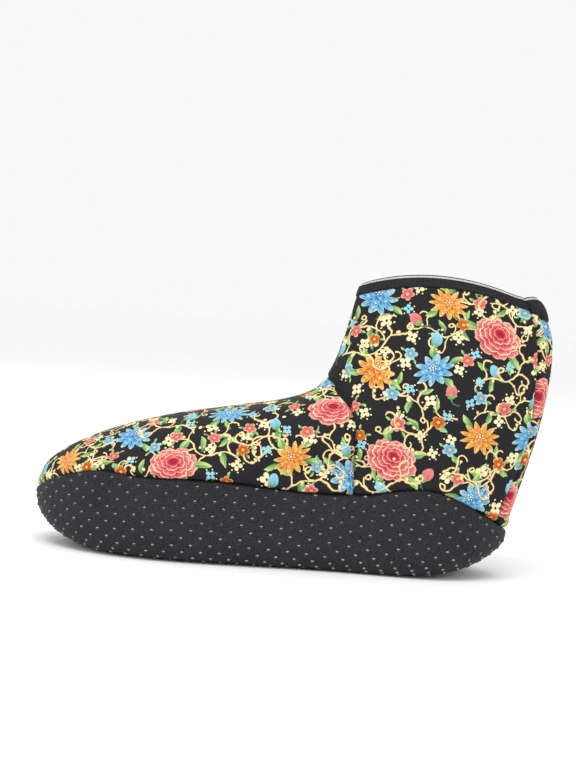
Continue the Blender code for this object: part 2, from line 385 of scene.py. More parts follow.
@dataclass
class Mesh:
    """Mesh put together from grids of points, with a material slot for each face."""

    points: list[np.ndarray] = field(default_factory=list)
    faces: list[np.ndarray] = field(default_factory=list)
    slots: list[np.ndarray] = field(default_factory=list)
    count: int = 0

    def add(self, points: np.ndarray) -> np.ndarray:
        """Adds points.

        Args:
            points: Points of any grid shape.

        Returns:
            Their numbers in the same shape.
        """
        numbers = np.arange(self.count, self.count + points[..., 0].size)
        self.points.append(points.reshape(-1, 3))
        self.count += numbers.size
        return numbers.reshape(points.shape[:-1])

    def skin(self, rows: np.ndarray, slot: int) -> None:
        """Adds the quads between the rows of a grid of point numbers that is closed round."""
        self.cover(ring_quads(rows), slot)

    def cover(self, quads: np.ndarray, slot: int) -> None:
        """Adds quads of one material slot."""
        self.faces.append(quads)
        self.slots.append(np.full(len(quads), slot))

    def close_across(self, ring: np.ndarray, slot: int, facing_up: bool) -> None:
        """Adds strips from side to side that close a ring along its length.

        Args:
            ring: Point numbers of the ring.
            slot: Material slot of the strips.
            facing_up: True where the strips face up.
        """
        strips = []
        for column in range(len(ring) // 2):
            corners = [ring[column], ring[column + 1], ring[len(ring) - column - 1], ring[-column]]
            strips.append(corners if facing_up else corners[::-1])
        self.cover(np.array(strips), slot)

    def made(self, name: str, materials: Sequence[bpy.types.Material]) -> bpy.types.Object:
        """Finished object at the origin.

        Args:
            name: Name of the piece.
            materials: Its materials in the order of the slot numbers.

        Returns:
            The smooth-shaded object, linked to the scene.
        """
        data = bpy.data.meshes.new(name)
        faces = [list(dict.fromkeys(quad)) for part in self.faces for quad in part.tolist()]
        data.from_pydata(np.concatenate(self.points).tolist(), [], faces)
        for material in materials:
            data.materials.append(material)
        data.polygons.foreach_set("material_index", np.concatenate(self.slots).astype(np.int32))
        data.shade_smooth()
        data.update()
        piece = bpy.data.objects.new(name, data)
        bpy.context.scene.collection.objects.link(piece)
        return piece


def corner_values(piece: bpy.types.Object, name: str, values: np.ndarray) -> None:
    """Writes a vector for each corner of the first faces of a piece, and far-off ones elsewhere.

    Args:
        piece: Piece to write to.
        name: Name of the attribute.
        values: The vectors.
    """
    attribute = piece.data.attributes.new(name, "FLOAT_VECTOR", "CORNER")
    every = np.full((len(piece.data.loops), 3), FAR_OFF, np.float32)
    every[: len(values)] = values
    attribute.data.foreach_set("vector", every.ravel())


def point_values(piece: bpy.types.Object, name: str, values: np.ndarray) -> None:
    """Writes a number for each of the first points of a piece, and 0 elsewhere.

    Args:
        piece: Piece to write to.
        name: Name of the attribute.
        values: The numbers.
    """
    attribute = piece.data.attributes.new(name, "FLOAT", "POINT")
    every = np.zeros(len(piece.data.vertices), np.float32)
    every[: len(values)] = values
    attribute.data.foreach_set("value", every)


def cloth_map(piece: bpy.types.Object, place: np.ndarray) -> None:
    """Gives a piece a UV map in metres of cloth, from one place for each point.

    Args:
        piece: Piece to write to.
        place: Place on the cloth of each point.
    """
    layer = piece.data.uv_layers.new(name="cloth")
    corners = np.zeros(len(piece.data.loops), np.int32)
    piece.data.loops.foreach_get("vertex_index", corners)
    layer.uv.foreach_set("vector", place[corners].astype(np.float32).ravel())


@dataclass(frozen=True, eq=False)
class Value:
    """One number or colour of a shader tree, written in plain arithmetic."""

    tree: bpy.types.NodeTree
    socket: bpy.types.NodeSocket

    def math(self, operation: str, *others: "Value | float") -> "Value":
        """Math node on this value and others.

        Args:
            operation: What the node does.
            *others: Further operands.

        Returns:
            The result.
        """
        node = Tree(self.tree).node("ShaderNodeMath", {"operation": operation})
        for place, value in enumerate((self, *others)):
            feed(self.tree, value, node.inputs[place])
        return Value(self.tree, node.outputs[0])

    def __add__(self, other: "Value | float") -> "Value":
        """Sum."""
        return self.math("ADD", other)

    def __sub__(self, other: "Value | float") -> "Value":
        """Difference."""
        return self.math("SUBTRACT", other)

    def __mul__(self, other: "Value | float") -> "Value":
        """Product."""
        return self.math("MULTIPLY", other)

    def __truediv__(self, other: "Value | float") -> "Value":
        """Quotient."""
        return self.math("DIVIDE", other)

    def __pow__(self, other: "Value | float") -> "Value":
        """Power."""
        return self.math("POWER", other)

    def size(self) -> "Value":
        """Absolute value."""
        return self.math("ABSOLUTE")

    def least(self, other: "Value | float") -> "Value":
        """Smaller of two values."""
        return self.math("MINIMUM", other)

    def most(self, other: "Value | float") -> "Value":
        """Greater of two values."""
        return self.math("MAXIMUM", other)

    def above(self, other: "Value | float") -> "Value":
        """1 where this value is the greater, else 0."""
        return self.math("GREATER_THAN", other)

    def scaled(self, factor: "Value | float", offset: "Value | float") -> "Value":
        """This value times a factor, plus an offset."""
        return self.math("MULTIPLY_ADD", factor, offset)

    def step(self, low: float, high: float) -> "Value":
        """Soft step: 0 at low, 1 at high; low may be the greater."""
        node = Tree(self.tree).node("ShaderNodeMapRange", SOFT, Value=self, From_Min=low, From_Max=high)
        return Value(self.tree, node.outputs[0])

    def towards(self, other: "Value | float", share: "Value | float") -> "Value":
        """This value moved towards another by a share."""
        node = Tree(self.tree).node("ShaderNodeMix", {"data_type": "FLOAT"}, Factor=share, A=self, B=other)
        return Value(self.tree, node.outputs[0])

    def tint(self, stops: Sequence[tuple[float, Colour]], stepped: bool = False) -> "Value":
        """Colour from a ramp.

        Args:
            stops: Place and colour of each stop, from 0 to 1.
            stepped: True where a colour holds until the next stop.

        Returns:
            The colour.
        """
        node = self.tree.nodes.new("ShaderNodeValToRGB")
        node.color_ramp.interpolation = "CONSTANT" if stepped else "LINEAR"
        elements = node.color_ramp.elements
        for place, _ in stops[2:]:
            elements.new(place)
        for element, (place, colour) in zip(elements, stops):
            element.position = place
            element.color = (*colour, 1.0)
        feed(self.tree, self, node.inputs[0])
        return Value(self.tree, node.outputs[0])


def feed(
    tree: bpy.types.NodeTree, value: "Value | float | Sequence[float]", socket: bpy.types.NodeSocket
) -> None:
    """Links a value to a socket, or sets the socket to a plain number or colour.

    Args:
        tree: Tree of the socket.
        value: Value, number or colour.
        socket: Socket to feed.
    """
    if isinstance(value, Value):
        tree.links.new(value.socket, socket)
    else:
        socket.default_value = value


def paint(under: Value, over: "Value | Colour", cover: "Value | float", blend: str = "MIX") -> Value:
    """Colour laid over another where the cover is 1.

    Args:
        under: Colour below.
        over: Colour above.
        cover: Share of the colour above.
        blend: How the two mix.

    Returns:
        The mixed colour.
    """
    tree = under.tree
    node = Tree(tree).node("ShaderNodeMix", {"data_type": "RGBA", "blend_type": blend}, Factor=cover)
    feed(tree, under, node.inputs[6])
    feed(tree, (*over, 1.0) if isinstance(over, tuple) else over, node.inputs[7])
    return Value(tree, node.outputs[2])


@dataclass(frozen=True)
class Spot:
    """A place on the cloth in a motif's own coordinates."""

    x: Value
    y: Value

    def moved(self, x: float, y: float) -> "Spot":
        """The same place seen from another middle."""
        return Spot(self.x - x, self.y - y)

    def reach(self) -> Value:
        """Distance from the middle."""
        return (self.x * self.x + self.y * self.y).math("SQRT")

    def angle(self) -> Value:
        """Angle about the middle."""
        return self.y.math("ARCTAN2", self.x)


@dataclass(frozen=True)
class Tree:
    """Shader node group or material tree that is under construction."""

    tree: bpy.types.NodeTree

    def node(
        self,
        kind: str,
        settings: "dict[str, str | bpy.types.NodeTree] | None" = None,
        **inputs: "Value | float | Sequence[float]",
    ) -> bpy.types.Node:
        """New node.

        Args:
            kind: Type of the node.
            settings: Its properties.
            **inputs: Its inputs by name, where an underscore stands for a space.

        Returns:
            The node.
        """
        made = self.tree.nodes.new(kind)
        for name, setting in (settings or {}).items():
            setattr(made, name, setting)
        for name, value in inputs.items():
            feed(self.tree, value, made.inputs[name.replace("_", " ")])
        return made

    def out(self, node: bpy.types.Node, name: "str | int" = 0) -> Value:
        """Output of a node as a value."""
        return Value(self.tree, node.outputs[name])

    def parts(self, vector: Value) -> list[Value]:
        """The three parts of a vector."""
        node = self.node("ShaderNodeSeparateXYZ", Vector=vector)
        return [self.out(node, axis) for axis in range(3)]

    def attribute(self, name: str) -> list[Value]:
        """The three parts of a vector attribute of the piece."""
        node = self.node("ShaderNodeAttribute", {"attribute_name": name})
        return self.parts(self.out(node, "Vector"))

    def number(self, name: str) -> Value:
        """A number attribute of the piece."""
        return self.out(self.node("ShaderNodeAttribute", {"attribute_name": name}), "Fac")

    def noise(self, scale: float, detail: float = 2.0) -> Value:
        """Soft noise in object coordinates, about 0.5."""
        place = self.out(self.node("ShaderNodeTexCoord"), "Object")
        return self.out(self.node("ShaderNodeTexNoise", Vector=place, Scale=scale, Detail=detail), "Fac")

    def group(self, made: bpy.types.NodeTree, **inputs: "Value | float") -> bpy.types.Node:
        """Places a node group with its named inputs."""
        return self.node("ShaderNodeGroup", {"node_tree": made}, **inputs)


def shader_group(
    name: str,
    inputs: Sequence[str],
    outputs: Sequence[str],
    draw: Callable[..., Sequence[Value]],
) -> bpy.types.NodeTree:
    """Shader node group.

    Args:
        name: Name of the group.
        inputs: Names of its inputs, each a number.
        outputs: Names of its outputs, each a number.
        draw: Takes the inputs and gives back the outputs.

    Returns:
        The finished group.
    """
    tree = bpy.data.node_groups.new(name, "ShaderNodeTree")
    for socket in inputs:
        tree.interface.new_socket(socket, in_out="INPUT", socket_type="NodeSocketFloat")
    for socket in outputs:
        tree.interface.new_socket(socket, in_out="OUTPUT", socket_type="NodeSocketFloat")
    entry = tree.nodes.new("NodeGroupInput")
    results = draw(*[Value(tree, entry.outputs[socket]) for socket in inputs])
    leave = tree.nodes.new("NodeGroupOutput")
    for socket, value in zip(outputs, results):
        feed(tree, value, leave.inputs[socket])
    return tree


class Ink(Enum):
    """Inks of the print, as linear colours."""

    CREAM = (0.90, 0.76, 0.45)
    GOLD = (0.66, 0.44, 0.14)
    PINK_DEEP = (0.36, 0.014, 0.036)
    PINK = (0.57, 0.060, 0.086)
    PINK_LIGHT = (0.75, 0.235, 0.230)
    BLUE_DEEP = (0.014, 0.100, 0.36)
    BLUE = (0.052, 0.285, 0.54)
    BLUE_LIGHT = (0.275, 0.590, 0.69)
    ORANGE_DEEP = (0.42, 0.050, 0.008)
    ORANGE = (0.64, 0.190, 0.018)
    ORANGE_LIGHT = (0.80, 0.470, 0.090)
    LEAF_DEEP = (0.045, 0.170, 0.085)
    LEAF = (0.230, 0.440, 0.135)
    LEAF_LIGHT = (0.670, 0.730, 0.260)


def ink_ramp(*stops: tuple[float, Ink]) -> tuple[tuple[float, Colour], ...]:
    """Stops of a colour ramp from places and inks."""
    return tuple((place, ink.value) for place, ink in stops)


GREENS = ink_ramp((0.0, Ink.LEAF_DEEP), (0.5, Ink.LEAF), (1.0, Ink.LEAF_LIGHT))
PINKS = ink_ramp((0.0, Ink.PINK_DEEP), (0.5, Ink.PINK), (1.0, Ink.PINK_LIGHT))
ORANGES = ink_ramp((0.0, Ink.ORANGE_DEEP), (0.4, Ink.ORANGE), (0.9, Ink.ORANGE_LIGHT))
BLUES = ink_ramp((0.0, Ink.BLUE_DEEP), (0.4, Ink.BLUE), (1.0, Ink.BLUE_LIGHT))
VINES = ink_ramp((0.0, Ink.GOLD), (1.0, Ink.CREAM))
CRUMB_INKS = ink_ramp((0.0, Ink.CREAM), (0.34, Ink.ORANGE_LIGHT), (0.67, Ink.BLUE_LIGHT))
SPRIG_DEEP = ink_ramp((0.0, Ink.PINK), (0.33, Ink.ORANGE_DEEP), (0.66, Ink.BLUE))
SPRIG_LIGHT = ink_ramp((0.0, Ink.PINK_LIGHT), (0.33, Ink.ORANGE), (0.66, Ink.BLUE_LIGHT))
HUES = 3.0


class Bloom(IntEnum):
    """Large flowers of the print."""

    PINK_RUFFLE = 0
    ORANGE_RAYS = 1
    BLUE_RAYS = 2


class Sprig(IntEnum):
    """Small flowers of the print."""

    PINK_BLOSSOM = 0
    ORANGE_BLOSSOM = 1
    BLUE_BLOSSOM = 2
    PINK_BUD = 3
    BLUE_BUD = 4


class Crumb(IntEnum):
    """Tiny flowers of the print."""

    CREAM = 0
    ORANGE = 1
    BLUE = 2


class PrintLayer(NamedTuple):
    """One layer of scattered motifs: kinds with their radii in metres, and how they stand."""

    name: str
    motifs: tuple[tuple[int, float], ...]
    edge: float
    spacing: float
    squash: float = 1.0
    clear_of_blooms: float = 0.0
    lean: float = math.pi
    tries: int = 6000
    alike: float = 1.0


PRINT_LAYERS = (
    PrintLayer(
        "bloom",
        (
            (Bloom.PINK_RUFFLE, 0.0144), (Bloom.BLUE_RAYS, 0.0116), (Bloom.PINK_RUFFLE, 0.0132),
            (Bloom.BLUE_RAYS, 0.0110), (Bloom.ORANGE_RAYS, 0.0112), (Bloom.PINK_RUFFLE, 0.0138),
            (Bloom.BLUE_RAYS, 0.0114), (Bloom.ORANGE_RAYS, 0.0106),
        ),
        edge=1.56, spacing=1.22, squash=0.76, lean=0.75, alike=1.5,
    ),
    PrintLayer(
        "sprig",
        (
            (Sprig.ORANGE_BLOSSOM, 0.0062), (Sprig.PINK_BUD, 0.0072), (Sprig.PINK_BLOSSOM, 0.0068),
            (Sprig.BLUE_BUD, 0.0068), (Sprig.BLUE_BLOSSOM, 0.0060), (Sprig.ORANGE_BLOSSOM, 0.0056),
            (Sprig.PINK_BLOSSOM, 0.0060),
        ),
        edge=1.06, spacing=1.02, squash=0.88, clear_of_blooms=0.50, lean=0.9, tries=9000, alike=1.5,
    ),
    PrintLayer(
        "crumb",
        (
            (Crumb.CREAM, 0.0054), (Crumb.CREAM, 0.0043), (Crumb.ORANGE, 0.0041), (Crumb.CREAM, 0.0048),
            (Crumb.BLUE, 0.0039),
        ),
        edge=1.02, spacing=1.30, squash=0.9, clear_of_blooms=0.40, lean=0.9, tries=12000,
    ),
    PrintLayer("spray", ((0, 0.0225), (1, 0.0200)), edge=1.06, spacing=0.82, lean=0.7),
    PrintLayer("trail", ((0, 0.0180), (1, 0.0205)), edge=1.06, spacing=0.86, lean=0.7),
)


class Motifs:
    """Scatters the print's motifs over the outer face of the upper, each with its own coordinates."""

    bloom_share: float = 0.9
    facing_apart: float = -0.1
    facing_off: float = -0.15
    edge_margin: float = 0.003
    forward_lean: float = 0.25

    def __init__(
        self, grid: np.ndarray, normals: np.ndarray, behind: np.ndarray, columns: np.ndarray, seam: float
    ) -> None:
        """Keeps the face that the motifs lie on.

        Args:
            grid: Points of the outer face.
            normals: Their outward normals.
            behind: Signed distance of each point behind the ankle seam.
            columns: Angle of each column.
            seam: Angle of the back seam.
        """
        rows, count = grid.shape[:2]
        numbers = np.arange(rows * count).reshape(rows, count)
        self.quads = ring_quads(numbers)
        self.points = grid.reshape(-1, 3)
        self.normals = normals.reshape(-1, 3)
        self.behind = behind.ravel()
        self.past_seam = np.tile(columns >= seam - TINY, (rows - 1, 1)).ravel()
        self.at_front = np.tile(np.abs(columns - math.pi) > math.pi / 2.0, (rows - 1, 1)).ravel()
        corner = self.points[self.quads]
        self.middles = corner.mean(axis=1)
        self.facing = unit(self.normals[self.quads].mean(axis=1))
        spread = np.cross(corner[:, 2] - corner[:, 0], corner[:, 3] - corner[:, 1])
        self.areas = np.linalg.norm(spread, axis=1) / 2.0
        foot = self.behind[self.quads].mean(axis=1) < 0.0
        self.panel = np.where(foot, 0, np.where(self.past_seam & ~self.at_front, 2, 1))
        self.blooms: list[tuple[int, float]] = []

    def scatter(self, layer: PrintLayer, rng: np.random.Generator) -> list[tuple[int, float, int]]:
        """Places one layer's motifs apart from each other.

        Args:
            layer: Layer to scatter.
            rng: Seeded source of chance.

        Returns:
            Face, radius and kind of each motif.
        """
        tried = rng.choice(len(self.areas), layer.tries, p=self.areas / self.areas.sum())
        placed: list[tuple[int, float, int]] = []
        for turn, face in enumerate(tried):
            kind, radius = layer.motifs[turn % len(layer.motifs)]
            others = [
                (other, layer.spacing * (radius + size) * (layer.alike if kind == one else 1.0))
                for other, size, one in placed
            ]
            others += [
                (other, size * self.bloom_share + radius * layer.clear_of_blooms)
                for other, size in self.blooms
            ]
            if self.clear(face, others):
                placed.append((int(face), radius, kind))
        return placed

    def clear(self, face: int, others: Sequence[tuple[int, float]]) -> bool:
        """Tests that a face stands off the faces of its panel that look the same way.

        Args:
            face: Face to test.
            others: Other faces and the gaps that they need.

        Returns:
            True where it does.
        """
        if not others:
            return True
        faces = np.array([other for other, _ in others])
        gaps = np.array([gap for _, gap in others])
        near = np.linalg.norm(self.middles[faces] - self.middles[face], axis=1) < gaps
        near &= self.panel[faces] == self.panel[face]
        return not np.any(near & (self.facing[faces] @ self.facing[face] > self.facing_apart))

    def laid(self, layer: PrintLayer, rng: np.random.Generator) -> np.ndarray:
        """Corner values of one layer.

        Args:
            layer: Layer to lay.
            rng: Seeded source of chance.

        Returns:
            For each corner the place in its motif's coordinates and the motif's code: the kind,
            plus chance below 1, plus BEHIND_CODE where it lies behind the ankle seam.
        """
        placed = self.scatter(layer, rng)
        if layer.name == "bloom":
            self.blooms = [(face, radius) for face, radius, _ in placed]
        values = np.full((len(self.quads), 4, 3), FAR_OFF)
        nearest = np.full(len(self.quads), np.inf)
        for face, radius, kind in placed:
            centre, normal = self.middles[face], self.facing[face]
            reach = radius * layer.edge
            within = np.linalg.norm(self.middles - centre, axis=1) < reach + self.edge_margin
            close = np.flatnonzero(within)
            apart = np.linalg.norm(self.points[self.quads[close]] - centre, axis=2).min(axis=1) / reach
            same_side = self.past_seam[close] == self.past_seam[face]
            same_side |= self.at_front[close] & self.at_front[face]
            facing_same = self.facing[close] @ normal > self.facing_off
            taken = (apart < 1.0) & (apart < nearest[close]) & facing_same & same_side
            own = close[taken]
            nearest[own] = apart[taken]
            lean = rng.uniform(-layer.lean, layer.lean)
            up = np.array([self.forward_lean * normal[2], 0.0, 1.0])
            up = unit(up - (up @ normal) * normal)
            side = np.cross(up, normal)
            axis_x = math.cos(lean) * side + math.sin(lean) * up
            axis_y = math.cos(lean) * up - math.sin(lean) * side
            away = self.points[self.quads[own]] - centre
            flat = away - (away @ normal)[..., None] * normal
            length = np.linalg.norm(flat, axis=-1) + TINY
            stretch = np.linalg.norm(away, axis=-1) / length / radius
            code = kind + rng.uniform(0.05, 0.95)
            if self.behind[self.quads[face][0]] > 0.0:
                code += BEHIND_CODE
            values[own, :, 0] = (flat @ axis_x) * stretch
            values[own, :, 1] = (flat @ axis_y) * stretch / layer.squash
            values[own, :, 2] = code
        LOG.info("print layer %s: %d motifs", layer.name, len(placed))
        return values.reshape(-1, 3)


@dataclass(frozen=True)
class KnitFinish:
    """Plain foam knit: colour, depth of its loops and how matt it is."""

    name: str
    colour: Colour
    lighter: Colour
    roughness: float
    loop_pitch: float
    loop_depth: float
    sheen: float
    sheen_roughness: float = 0.45
    specular: float = 0.15
    wear_scale: float = 60.0
    fuzz_scale: float = 1500.0

    def material(self, knit: bpy.types.NodeTree) -> bpy.types.Material:
        """Makes the knit's material.

        Args:
            knit: Shader group of the knit's loops.

        Returns:
            The material.
        """
        material, tree, surface = blank(self.name)
        coat = tree.group(knit, Pitch=self.loop_pitch, **cloth_place(tree))
        worn = tree.noise(self.wear_scale, 3.0)
        fuzz = tree.noise(self.fuzz_scale)
        # Painted shade of the loops, darker where they lie lower, mixed with random tone from the wear and
        # fuzz noise.
        shade = tree.out(coat, "Shade") * 0.4 + worn * 0.3 + fuzz * 1.6 - 0.72
        colour = shade.tint([(0.0, self.colour), (1.0, self.lighter)])
        dress(tree, surface, colour, Roughness=self.roughness, Specular_IOR_Level=self.specular,
              Sheen_Weight=self.sheen, Sheen_Roughness=self.sheen_roughness)
        raise_bump(tree, surface, tree.out(coat, "Height"), self.loop_depth)
        return material


@dataclass(frozen=True)
class SolidFinish:
    """Matt finish without a knit: colour, its spread, and the scale and depth of its grain."""

    name: str
    colour: Colour
    lighter: Colour
    roughness: float
    grain: float
    grain_depth: float = 0.0

    def material(self) -> bpy.types.Material:
        """Makes a material with a little spread in its colour.

        Returns:
            The material.
        """
        material, tree, surface = blank(self.name)
        spread = tree.noise(self.grain, 3.0)
        colour = spread.step(0.3, 0.7).tint([(0.0, self.colour), (1.0, self.lighter)])
        dress(tree, surface, colour, Roughness=self.roughness)
        if self.grain_depth:
            raise_bump(tree, surface, spread, self.grain_depth)
        return material


@dataclass(frozen=True)
class DotFinish:
    """Glossy grip dots, with a painted highlight: the upper side of each is painted paler."""

    name: str
    colour: Colour
    painted_highlight: Colour
    roughness: float
    highlight_from: float
    highlight_full: float
    patch_scale: float = 700.0

    def material(self) -> bpy.types.Material:
        """Makes the material of the dots.

        Returns:
            The material.
        """
        material, tree, surface = blank(self.name)
        normal = tree.parts(tree.out(tree.node("ShaderNodeNewGeometry"), "Normal"))
        facing = tree.attribute("facing")
        straight = normal[0] * facing[0] + normal[1] * facing[1] + normal[2] * facing[2]
        tilt = (facing[2] * facing[2]).scaled(-1.0, 1.0).most(0.06).math("SQRT")
        upward = (normal[2] - straight * facing[2]) / tilt
        patchy = tree.noise(self.patch_scale).step(0.25, 0.55)
        # Painted highlight: the side of each dot that faces upwards, measured across its own facing, is
        # painted paler in patches.
        painted_glint = upward.step(self.highlight_from, self.highlight_full) * patchy
        colour = painted_glint.tint([(0.0, self.colour), (1.0, self.painted_highlight)])
        dress(tree, surface, colour, Roughness=self.roughness)
        return material


def blank(name: str) -> tuple[bpy.types.Material, Tree, bpy.types.Node]:
    """Makes a plain material.

    Args:
        name: Name of the material.

    Returns:
        The material, its tree and its Principled shader.
    """
    material = bpy.data.materials.new(name)
    material.use_nodes = True
    surface = material.node_tree.nodes["Principled BSDF"]
    return material, Tree(material.node_tree), surface


def dress(tree: Tree, surface: bpy.types.Node, colour: Value, **settings: float) -> None:
    """Feeds a shader its colour and sets its plain inputs.

    Args:
        tree: Tree of the material.
        surface: Shader of the material.
        colour: Base colour.
        **settings: Plain inputs by name, where an underscore stands for a space.
    """
    feed(tree.tree, colour, surface.inputs["Base Color"])
    for name, value in settings.items():
        surface.inputs[name.replace("_", " ")].default_value = value


def raise_bump(tree: Tree, surface: bpy.types.Node, height: Value, depth: float) -> None:
    """Feeds a height to the shader's normal through a Bump node of that depth in metres."""
    bump = tree.node("ShaderNodeBump", Height=height, Distance=depth)
    feed(tree.tree, tree.out(bump, "Normal"), surface.inputs["Normal"])


def cloth_place(tree: Tree) -> dict[str, Value]:
    """Place on the cloth, in metres, from the piece's UV map."""
    along, up, _ = tree.parts(tree.out(tree.node("ShaderNodeUVMap", {"uv_map": "cloth"})))
    return {"Along": along, "Up": up}


def draw_knit(along: Value, up: Value, pitch: Value) -> Sequence[Value]:
    """Loops of a fine jersey: leaning legs in columns, and a little unevenness.

    Args:
        along: Place along the cloth.
        up: Place up the cloth.
        pitch: Width of a column of loops.

    Returns:
        Height of the loops, and their painted shade, darker where they lie lower.
    """
    wale = (along / pitch).math("PINGPONG", 0.5)
    leg = (up / pitch + wale * 1.1) * math.tau
    loop = leg.math("SINE") * 0.25 + 0.5
    column = wale.step(0.02, 0.26)
    height = loop * 0.6 + column * 0.4
    # Painted shade: the loops are darker where they lie lower.
    shade = height * 0.7 + 0.2
    return height, shade


# Rings of petals, outermost first: share of the radius, petals, depth of a notch, set-back, pale line.
RUFFLE_RINGS = (
    (1.00, 8, 0.21, 0.00, 0.40),
    (0.84, 7, 0.22, 0.04, 0.95),
    (0.67, 6, 0.24, 0.08, 0.60),
    (0.49, 5, 0.26, 0.11, 0.95),
    (0.31, 4, 0.30, 0.13, 0.60),
)
# Rings of petals, outermost first: share of the radius, petals, set-back, shift round, pale line.
RAY_RINGS = (
    (1.00, 10, 0.00, 0.0, 0.45),
    (0.80, 8, 0.05, 0.4, 0.55),
    (0.59, 6, 0.09, 0.8, 0.55),
    (0.38, 5, 0.13, 0.2, 0.55),
)
RING_SPECKS = 7.0


def lay_rings(rings: Sequence[tuple[Value, Value, Value]]) -> tuple[Value, Value, Value]:
    """Lays the petal rings of a flower over each other.

    Args:
        rings: Tone, cover and pale line of each ring, outermost first.

    Returns:
        Tone, cover and pale line of the flower.
    """
    tone, cover, line = rings[0]
    for own, inside, lip in rings[1:]:
        tone = tone.towards(own, inside)
        line = line.towards(lip, inside)
    return tone, cover, line


def speck_ring(angle: Value, reach: Value, radius: float) -> Value:
    """Distance from the nearest of the specks that stand evenly on a ring."""
    part = (angle * (RING_SPECKS / math.tau)).math("PINGPONG", 0.5) * (math.tau / RING_SPECKS)
    return Spot(reach - radius, part * reach).reach()


def draw_ruffle(x: Value, y: Value, turn: Value) -> Sequence[Value]:
    """Full round flower: rings of notched, streaked petals, the inner ones set back towards the top.

    Args:
        x: Place across the motif.
        y: Place up the motif.
        turn: Chance of the motif, from 0 to 1.

    Returns:
        Tone, cover and pale line.
    """
    tilt = turn.scaled(2.4, 0.2)
    rings = []
    for place, (radius, count, depth, back, pale) in enumerate(RUFFLE_RINGS):
        ring = Spot(x, y - tilt * back)
        angle = ring.angle()
        wave = (angle * (count / 2.0) + turn * 5.0 + place * 1.9).math("COSINE").size()
        petal = wave**0.55 - wave.step(0.88, 1.0) * 0.20
        share = ring.reach() / petal.scaled(depth * radius, radius * (1.0 - depth))
        inside = share.step(1.0, 0.965)
        streak = (angle * (count * 4.0) + turn * 9.0).math("SINE") * share.step(0.50, 0.95)
        own = share.step(0.42, 1.0) * wave.scaled(0.50, 0.50) + streak * 0.11
        rings.append((own, inside, share.step(0.895, 0.94) * inside * pale))
    return lay_rings(rings)


def draw_rays(x: Value, y: Value, turn: Value) -> Sequence[Value]:
    """Flower of rings of pointed, streaked petals about a ring of stamens; some look up, some ahead.

    Args:
        x: Place across the motif.
        y: Place up the motif.
        turn: Chance of the motif, from 0 to 1.

    Returns:
        Tone, cover, pale line and stamens.
    """
    tilt = turn.scaled(3.2, 0.0)
    more = (turn * 7.0).math("FRACT").above(0.5) * 2.0
    rings = []
    for radius, count, back, shift, pale in RAY_RINGS:
        ring = Spot(x, y - tilt * back)
        turned = ring.angle() * ((more + count) * (1.0 / math.tau)) + turn + shift
        across = turned.math("PINGPONG", 0.5) * 2.0
        share = ring.reach() / (across ** turn.scaled(0.9, 1.1)).scaled(-0.46 * radius, radius)
        inside = share.step(1.0, 0.95)
        own = share.step(0.25, 1.0) * across.scaled(-0.50, 0.92) + (across * 8.5).math("COSINE") * 0.13
        rings.append((own, inside, share.step(0.89, 0.94) * inside * pale))
    heart = Spot(x, y - tilt * 0.15)
    reach = heart.reach()
    stamen = speck_ring(heart.angle(), reach, 0.145).step(0.050, 0.030)
    return *lay_rings(rings), stamen.most(reach.step(0.065, 0.045))


def draw_leaves(x: Value, y: Value, turn: Value) -> Sequence[Value]:
    """Leaves that stand round a flower in some of five places, from its edge outwards.

    Args:
        x: Place across the motif.
        y: Place up the motif.
        turn: Chance of the motif, from 0 to 1.

    Returns:
        Tone and cover.
    """
    spot = Spot(x, y)
    angle = (spot.angle() + turn * math.tau) * (5.0 / math.tau)
    place = angle.math("FLOOR")
    within = (angle - place - 0.5) * (math.tau / 5.0)
    whole = (place + 0.5).math("FLOOR") + (turn * 40.0).math("ROUND") * 7.0
    tree = Tree(x.tree)
    drawn = tree.node("ShaderNodeTexWhiteNoise", {"noise_dimensions": "1D"}, W=whole.math("ROUND"))
    chance = tree.out(drawn, "Value")
    reach = spot.reach()
    along = reach * within.math("COSINE") - 1.09
    off = reach * within.math("SINE") + along * along * 0.35 - 0.04
    half = (along * along).scaled(-1.0, 0.175)
    inside = (half - off.size()).step(0.0, 0.022) * chance.above(0.56)
    tone = along.step(-0.45, 0.42) * 0.6 + off.step(-0.03, 0.03) * 0.28 + off.size().step(0.03, 0.0) * 0.3
    return tone, inside


def draw_blossom(x: Value, y: Value, turn: Value) -> Sequence[Value]:
    """Small flower of five round, outlined petals with an eye.

    Args:
        x: Place across the motif.
        y: Place up the motif.
        turn: Chance of the motif, from 0 to 1.

    Returns:
        Tone, cover, pale line and eye.
    """
    spot = Spot(x, y)
    petal = (spot.angle() * 2.5 + turn * math.tau).math("COSINE").size() ** 0.6
    reach = spot.reach()
    share = reach / petal.scaled(0.30, 0.34)
    inside = share.step(1.0, 0.93)
    tone = share.step(0.2, 0.95) * petal.scaled(0.6, 0.4)
    line = share.step(0.84, 0.92) * inside * 0.6
    eye = reach.step(0.17, 0.13)
    return tone, inside, line, eye


def draw_bud(x: Value, y: Value, turn: Value) -> Sequence[Value]:
    """Closed bud in a pointed cup on a bent stalk.

    Args:
        x: Place across the motif.
        y: Place up the motif.
        turn: Chance of the motif, from 0 to 1.

    Returns:
        Tone and cover of the head, and cover of its green.
    """
    spot = Spot(x, y)
    head = spot.moved(0.0, 0.22)
    wide = head.y.scaled(-0.35, 1.0)
    bent = Spot(head.x / wide, head.y * 0.72)
    inside = bent.reach().step(0.40, 0.37)
    tone = (head.y + 0.5).scaled(0.7, 0.1) + (head.x + head.y * 0.2 - 0.08).size().step(0.0, 0.10) * 0.3
    cup = Spot(spot.x, spot.y + 0.16)
    points = (cup.x * 11.0).math("COSINE") * 0.10
    green = cup.reach().step(0.33, 0.30) * (points - cup.y + 0.03).step(0.0, 0.03)
    stalk = (Spot(spot.x - 0.50, spot.y + 0.42).reach() - 0.50).size().step(0.065, 0.045)
    low = spot.y.step(-0.36, -0.40) * spot.x.step(0.62, 0.56)
    return tone, inside, green.most(stalk * low)


